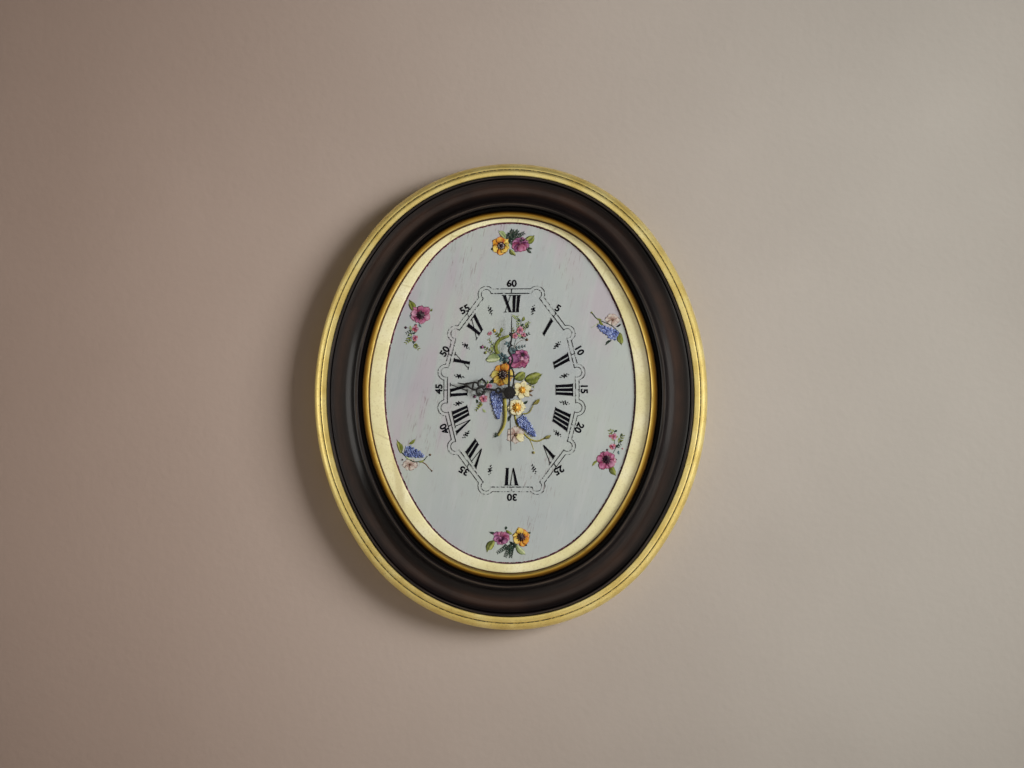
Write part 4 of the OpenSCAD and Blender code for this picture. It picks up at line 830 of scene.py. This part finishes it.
spray.blossom(-77.1, 44.7, 2.6)
spray.bloom(-72.9, 63.5, "rose", [
    (-15, 8.5, "blush"), (40, 9.5), (133, 8.6), (200, 8.2, "blush"), (285, 7.6), (240, 7), (85, 8.2),
    (165, 8.3, "blush")], 3.3, 7)
spray.done()

spray = Spray("upperRightSpray", 14)
spray.stem([(73.3, 56.6), (70.2, 55.3), (66.4, 52.7)], 0.5, "pale")
spray.bloom(83.4, 59.2, "faded", sixPetals(0, (6.4, 5.2, 5.4, 6.4, 5.2, 5.4)), 0.9, 5.6, "bark")
spray.stem([
    (66.9, 64.9), (70, 61), (73.3, 58.7), (77.7, 56.9), (83.4, 54), (87.6, 49.9), (89.6, 47.3)], 0.9)
spray.leaves([
    (89.4, 48.8, 91, 38.6, 5, "olive"), (72.6, 58.8, 76.4, 54.4, 2, "olive"),
    (70.4, 60.4, 75, 59.2, 1.6, "olive"), (82.6, 42.6, 76.8, 38.2, 2), (86.4, 53.4, 90.2, 56, 1.5)])
spray.hyacinth((86.4, 45.6), (71.6, 53.8), 8.2)
spray.buds([(88.5, 54.5, 0.7, "heart"), (66.6, 65.2, 0.8, "olive")])
spray.done()

spray = Spray("lowerLeftSpray", 15)
spray.bloom(-81.1, -58.2, "faded", sixPetals(0, (6.6, 5.2, 5, 6.6, 5.2, 5)), 0.9, 5.8, "bark")
spray.stem([
    (-88.4, -47.6), (-84.5, -51.5), (-80.9, -54.3), (-77.2, -55.9), (-72.1, -55.4), (-69.5, -54.3),
    (-66.9, -51.2)], 1)
spray.stem([(-71.5, -55.9), (-68.4, -57.7), (-65.9, -60.6), (-63.5, -62.9)], 0.9, "bark")
spray.leaves([
    (-88.2, -49, -91.8, -38, 4.4, "olive"), (-81.9, -41.6, -76.4, -37.2, 2.4, "olive"),
    (-74, -56, -68.6, -54.4, 1.6, "olive"), (-85, -51, -80, -54.6, 1.4, "pale")])
spray.hyacinth((-84.6, -46.4), (-70, -51), 8.8)
spray.buds([(-64.6, -50.2, 0.9, "bark"), (-87.1, -54.2, 0.7, "heart"), (-63.2, -63.2, 0.7, "bark")])
spray.done()

spray = Spray("lowerRightSpray", 16)
spray.stem([(83.6, -48.6), (85.4, -45), (84.6, -40.6), (85.2, -36), (84.2, -30)], 0.5)
spray.stem([(85.4, -45), (88.4, -40.6), (89.8, -34.4)], 0.4)
spray.leaves([
    (81.6, -58.4, 85.8, -67.6, 4.8, "olive"), (71.2, -54.8, 66.4, -59.6, 1.9, "olive"),
    (83.9, -52.5, 87.2, -54.6, 1.4), (84.4, -31.4, 81.8, -30.2, 1.6, "pale"), (84.6, -31.6, 87, -30, 1.6),
    (88.4, -40.2, 91, -38, 1.6), (88, -40.6, 87.8, -37.4, 1.5, "pale"), (89.4, -36, 90.4, -32.6, 1.5),
    (85.2, -43.4, 88.2, -42, 1.6), (88, -46.8, 88.4, -50.6, 1.6, "teal"),
    (84.8, -39, 81.8, -37.4, 1.4, "pale"), (85, -36.6, 87.6, -34.8, 1.4, "pale")])
spray.sprig((85, -38), (81, -31), 3, 2.8, "olive")
spray.sprig((88, -41), (91.4, -35), 3, 2.8, "olive")
spray.sprig((85.4, -45), (89.4, -42), 3, 2, "pine")
spray.buds([(91.1, -45.3, 0.7, "salmon"), (78.7, -46.2, 0.9, "heart")])
spray.blossom(83.1, -43.5, 2.7)
spray.blossom(84.4, -35.7, 2.6)
spray.blossom(81.3, -35.1, 1.5)
spray.bloom(78.2, -54.1, "rose", [
    (-15, 8.2, "blush"), (35, 7.5), (278, 7.5), (122, 7.2), (80, 6.8), (235, 9.3), (-40, 8.2, "blush"),
    (175, 8.3)], 3.2, 7)
spray.done()

spray = Spray("middleBouquet", 17)
for points, width, paint in [
        ([(1.5, 24), (2.4, 34), (5.2, 44), (7.4, 51), (9.6, 59)], 0.5, "pine"),
        ([(-6, 24), (-8.5, 36), (-7.4, 50)], 0.45, "pale"),
        ([(-10, 26), (-14, 38), (-16, 48)], 0.4, "pale"), ([(-10, 28), (-16, 32), (-22, 37)], 0.4, "bark"),
        ([(5.2, 44), (11, 48), (13.6, 54)], 0.4, "pine"), ([(2.6, 36), (8, 42), (14, 43.4)], 0.4, "bark"),
        ([(4, -17.9), (5.6, -25.1), (9.6, -30.7), (16, -37.2), (22.5, -39.2), (28.9, -36.4)], 1.7, "straw"),
        ([(16, -37.2), (18, -42), (19.3, -46)], 0.8, "straw"),
        ([(-16, 8), (-20, 0), (-21.2, -4.7)], 0.5, "pine")]:
    spray.stem(points, width, paint)
spray.bloom(4.8, -34, "faded", [
    (30, 7.6), (90, 7), (150, 7.6), (210, 8), (270, 7.4), (330, 8, "cream")], 1.4, 7, "bark")
spray.tuft(-5.6, 28.8, 5, 9, "teal")
spray.tuft(2.4, 33.4, 4.6, 8, "teal")
spray.tuft(-1.4, 39.6, 3.2, 6, "teal")
spray.tuft(-3, 22.5, 5, 8)
spray.leaves([
    (-8.2, 28.2, -20.6, 26.8, 7, "pale"), (4, 11.2, 12.8, 17, 6.8, "olive"),
    (12.2, 10.4, 26.4, 14.9, 9, "olive"), (-9, 46, -8, 49.4, 2.4, "olive"),
    (-7.4, 49, -6.4, 53.4, 2.6, "olive"), (-14, 34.4, -15.6, 38.2, 2.2, "olive"),
    (-13.4, 35, -16.8, 36, 1.8, "pale"), (10, 48.6, 13.6, 46.6, 2), (13.4, 52.6, 15.4, 55.4, 2),
    (12.2, 55.6, 15.6, 58, 1.8, "pale"), (10.2, 58.4, 12, 62.4, 2.2, "olive"), (8.6, 57.6, 6, 60.6, 2),
    (5.4, 59.6, 1.6, 63.8, 2, "pale"), (8.8, 54.4, 11.4, 56.4, 1.8), (6.6, 47.6, 10, 45.4, 1.6, "pale"),
    (-21, 6, -25.6, 3, 2.2), (-22, -9, -26, -12.4, 2.6, "olive"), (-26.4, -8.6, -27, -5, 1.8),
    (-22, -13, -19, -16, 1.8, "pale"), (14, 1.2, 19.6, 2.4, 2, "bark"),
    (14.4, 0.4, 18.6, -2.6, 1.8, "bark"), (12.8, 4.6, 17.4, 7, 2), (-1, 5.4, 3, 3.6, 2.4),
    (-10.6, 9.6, -16.4, 8.6, 2.6), (1.4, -18, -1.6, -23.8, 2.2), (11, -8.6, 15, -6.4, 2)])
for start, end, pairs, paint in [
        ((5.2, 44), (2.4, 52), 4, "olive"), ((9, 50), (15.6, 57), 5, "olive"),
        ((7.4, 51), (6.4, 62), 5, "pale"), ((8, 44), (15.4, 48), 4, "pine"),
        ((-7.6, 44), (-13, 51), 4, "olive"), ((-12, 32), (-21.6, 38), 5, "olive"),
        ((-12, 36), (-16.6, 43), 3, "pale"), ((2.6, 36), (12, 38), 4, "teal"),
        ((-22, -6), (-27, -13.6), 4, "olive"), ((-19, 1), (-28, -2), 4, "pine"),
        ((12, 6), (19, 5), 3, "olive"), ((-14, 8), (-23, 9), 3, "pale")]:
    spray.sprig(start, end, pairs, 2.3, paint)
spray.buds([
    (-22.6, 37.2, 1.4, "mauve"), (-19.6, 32.8, 1.2, "olive"), (-12.4, 50.8, 1.1, "yellow"),
    (14, 43.2, 1.2, "bark"), (19.3, -48.4, 1.2, "straw"), (-28.4, -3.1, 1.2, "mauve")])
for x, up, reach in [
        (-16, 48.4, 1.9), (8.4, 51, 3.2), (4.4, 46.4, 2.4), (-21.2, -4.7, 3.2), (-16.8, 5.5, 2.6),
        (11.4, 47.2, 1.9)]:
    spray.blossom(x, up, reach)
spray.stem([(-9.6, 31.6), (-11.3, 37.6), (-8.8, 42.4), (-4.8, 44.8), (-0.4, 46.4)], 2.9, "olive")
spray.bloom(10, 28, "mauve", [
    (330, 6.6), (30, 6.4), (240, 9), (285, 7.8, "rose"), (80, 6.8), (212, 12, "rose", 9), (130, 8, "rose"),
    (180, 11, "mauve", 8.4), (350, 5.6, "blush")], 0, 7.6)
spray.bloom(10.8, 31, "mauve", [
    (200, 5.4, "mauve", 4), (260, 5, "blush", 4), (320, 4.6, "mauve", 4), (40, 4.4, "rose", 4),
    (110, 4.6, "mauve", 4)], 1.6, 4)
spray.bloom(-5.75, 14.8, "orange", [
    (125, 9, "orange", 7.6), (180, 10.4, "lime", 7.6), (75, 10, "orange", 7.6), (5, 10, "yellow", 7.8),
    (-105, 9.5, "orange", 7.6), (-55, 9.5, "yellow", 7.6), (222, 9.4, "yellow", 7)
], 3.6, 7.2, stamens="faded")
spray.bloom(10, 2.3, "cream", sixPetals(20, (8, 7.6, 7.8, 8, 7.6, 8)), 2.7, 5.6, "gold", "gold")
spray.hyacinth((-10.6, 0.6), (-9.2, -20.3), 10)
spray.stem([(-4.4, -4.3), (-3.6, -17.1), (-4.8, -26.7), (-9.6, -34.8)], 2.9, "straw")
spray.stem([(-9.6, -34.6), (-12, -35.6), (-11, -32)], 1.1)
spray.stem([(10.4, -17.1), (15.3, -16.3), (18.1, -12.3), (19.3, -9.1)], 1, "straw")
spray.leaves([(19.2, -9.4, 24.4, -4.7, 2.8, "straw"), (28.6, -36.8, 33.4, -34.2, 2.6, "straw")])
spray.hyacinth((8.6, -20.4), (20.4, -34.6), 8.4)
spray.bloom(5.6, -11.9, "cream", sixPetals(0, (7.2, 7, 7, 7.4, 7, 7)), 3.5, 6.8, "gold", "gold")
spray.done()
print("sprays painted")

# finishes of the parts that keep their own shape
finishes = [
    (chalkPaint(), "dial_panel"),
    (wornPrint("numeralInk", 0.12), "dial_numerals"),
    (wornPrint("trackInk", 0.04, 1.0), "minute_track"),
    (metal("blackMetal", (26, 25, 27), (10, 10, 12), 0.42, 700, metallic=0.2),
     "nut_washer", "hex_nut", "hour_hand", "minute_hand", "second_hand"),
    (metal("nickel", (196, 194, 186), (158, 156, 148), 0.26, 300, (1, 1, 6)),
     "bridge_screws", "contact_minus", "contact_plus", "crystal"),
    (metal("rolledSteel", (178, 178, 176), (136, 136, 136), 0.34, 260, (6, 1, 1)),
     "panel_points", "stator", "coil_core"),
    (metal("zincPlate", (196, 190, 164), (152, 148, 130), 0.38, 120), "hanger_plate"),
    (metal("turnedBrass", (214, 174, 92), (168, 128, 58), 0.26, 500, (1, 8, 1)),
     "hanger_screws", "centre_wheel", "minute_pipe"),
    (metal("ferriteMagnet", (74, 72, 72), (48, 47, 48), 0.5, 500), "rotor"),
    (moulded("acetal", (226, 222, 208), (206, 200, 184), 0.4),
     "coil_bobbin", "step_wheel", "third_wheel", "motion_wheel", "hour_wheel"),
    (moulded("pinnedAcetal", (226, 222, 208), (206, 200, 184), 0.4, 1400, 24.0), "second_wheel"),
    (moulded("washerRubber", (34, 34, 34), (20, 20, 20), 0.75), "seal_washer"),
    (moulded("caseBlack", (34, 34, 36), (22, 22, 24), 0.5, 1100), "movement_case"),
    (moulded("coverBlack", (44, 44, 46), (30, 30, 32), 0.52, 900), "back_cover"),
    (moulded("bridgeGrey", (206, 204, 196), (182, 180, 172), 0.45), "train_bridge"),
    (moulded("resinDrop", (26, 26, 28), (12, 12, 14), 0.2, 500), "chip_cap"),
    (moulded("knobBlack", (52, 52, 54), (36, 36, 38), 0.42), "setting_knob"),
    (batteryWrap(), "battery"), (circuitFinish(), "circuit_board"), (copperCoil(), "coil_winding"),
]
for finish, *names in finishes:
    for name in names:
        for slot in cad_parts[name].material_slots:
            slot.material = finish
print("finishes set")

# wall and floor
wall = {"left": ((163, 143, 132), (171, 151, 140)), "right": ((163, 160, 154), (171, 168, 162)),
        "edgeShade": (74, 64, 54), "shadeCentre": (0.0, 0.0, -0.13), "half": 2.4, "behind": 0.0008, "floorZ": -0.9}


def wallPaint():
    f = Finish("wallPaint", 0.15, {"Roughness": 0.9})
    cloud, grain = f.noise(2.2, 4), f.noise(170, 4)
    patchy = f.rise(cloud, 0.35, 0.65)
    # painted shade: the wall is darker and warmer on its left than on its right
    tone = f.mix(f.rise(f.axis(0), -0.5, 0.45), f.mix(patchy, *wall["left"]), f.mix(patchy, *wall["right"]))
    far = f.add("ShaderNodeVectorMath", {"operation": "DISTANCE"}, [f.where, wall["shadeCentre"]], 1)
    tone = f.mix(f.rise(far, 0.14, 0.74) * 0.5, tone, wall["edgeShade"])  # painted shade: darker and browner the farther from a point near the clock's middle
    f.done(tone, grain, 0.5, 0.35)
    behind = f.add("ShaderNodeNewGeometry", pick="Backfacing")  # the wall only shows from the room's side
    clear = f.add("ShaderNodeBsdfTransparent")
    solid = Wire(f, f.shader.outputs[0])
    shown = f.add("ShaderNodeMixShader", {}, [behind, solid, clear])
    f.plug(f.tree.nodes["Material Output"].inputs["Surface"], shown)
    return f.material


def stagePlane(name, place, material):
    bm = bmesh.new()
    bmesh.ops.create_grid(bm, x_segments=1, y_segments=1, size=wall["half"], matrix=place)
    plane = meshObject(name, bm, material)
    return plane


upright = Matrix.Translation((0, wall["behind"], 0)) @ Matrix.Rotation(math.pi / 2, 4, "X")
backdrop = stagePlane("wall", upright, wallPaint())
backdrop.visible_shadow = False  # so that the lamp behind it can light the clock's back
floorPaint = Finish("floorPaint", sockets={"Base Color": ink((196, 188, 180)), "Roughness": 0.85})
stagePlane("floor", Matrix.Translation((0, -wall["half"], wall["floorZ"])), floorPaint.material)

# lamps and camera
lamps = [  # name, place, aim, size, watts, colour, lights by: D the paint, G the reflections
    ("key", (2.5, -1.42, 0.45), (0, 0, -0.17), 1.2, 134, (255, 252, 248), "D"),
    ("leftCard", (-1.15, -0.34, -0.2), (-0.1, -0.02, -0.18), 0.7, 2.9, (255, 252, 246), "G"),
    ("rightCard", (1.15, -0.34, -0.12), (0.1, -0.02, -0.18), 0.6, 1.5, (255, 250, 244), "G"),
    ("behind", (0, 1.4, 0.1), (0, 0, -0.17), 1.2, 14, (255, 250, 244), "DG"),
]
for name, place, aim, size, watts, colour, lit in lamps:
    light = bpy.data.lights.new(name, "AREA")
    light.shape, light.size, light.energy, light.color = "SQUARE", size, watts, ink(colour)[:3]
    lamp = addObject(name, light)
    lamp.location = place
    lamp.rotation_euler = (Vector(aim) - Vector(place)).to_track_quat("-Z", "Y").to_euler()
    lamp.visible_camera, lamp.visible_diffuse, lamp.visible_glossy = False, "D" in lit, "G" in lit


class Room(Finish):  # the same tools for the world's nodes
    def __init__(self, name):
        self.world = bpy.data.worlds.new(name)
        self.world.use_nodes = True
        self.tree = self.world.node_tree
        self.shader = self.tree.nodes["Background"]
        self.where = self.add("ShaderNodeTexCoord", pick="Generated")


daylight = {"fill": 0.125, "horizon": 0.84, "ceiling": 0.08, "from": 0.32, "to": 0.64,
            "tint": (252, 242, 230)}
room = Room("room")
seen = room.add("ShaderNodeLightPath", pick="Is Camera Ray")
for ray in ("Is Glossy Ray", "Is Transmission Ray"):
    seen = seen.calc("MAXIMUM", room.add("ShaderNodeLightPath", pick=ray))
high = room.rise(room.axis(2).calc("ABSOLUTE"), daylight["from"], daylight["to"])
shown = daylight["horizon"] - high * (daylight["horizon"] - daylight["ceiling"])
room.sockets({"Color": ink(daylight["tint"]), "Strength": seen * shown + (1 - seen) * daylight["fill"]})
bpy.context.scene.world = room.world

view = {"place": (0.04116, -1.17387, -0.22438), "pan": -1.954, "tilt": 2.973, "lens": 50, "sensor": 36,
        "near": 0.01, "far": 20}
lens = bpy.data.cameras.new("camera")
lens.lens, lens.sensor_width = view["lens"], view["sensor"]
lens.clip_start, lens.clip_end = view["near"], view["far"]
camera = addObject("camera", lens)
pan, tilt = math.radians(view["pan"]), math.radians(view["tilt"])
look = Vector((math.sin(pan) * math.cos(tilt), math.cos(pan) * math.cos(tilt), math.sin(tilt)))
camera.location = view["place"]
camera.rotation_euler = look.to_track_quat("-Z", "Y").to_euler()
bpy.context.scene.camera = camera
bpy.context.scene.view_settings.view_transform = "Standard"
print("lights and camera set")
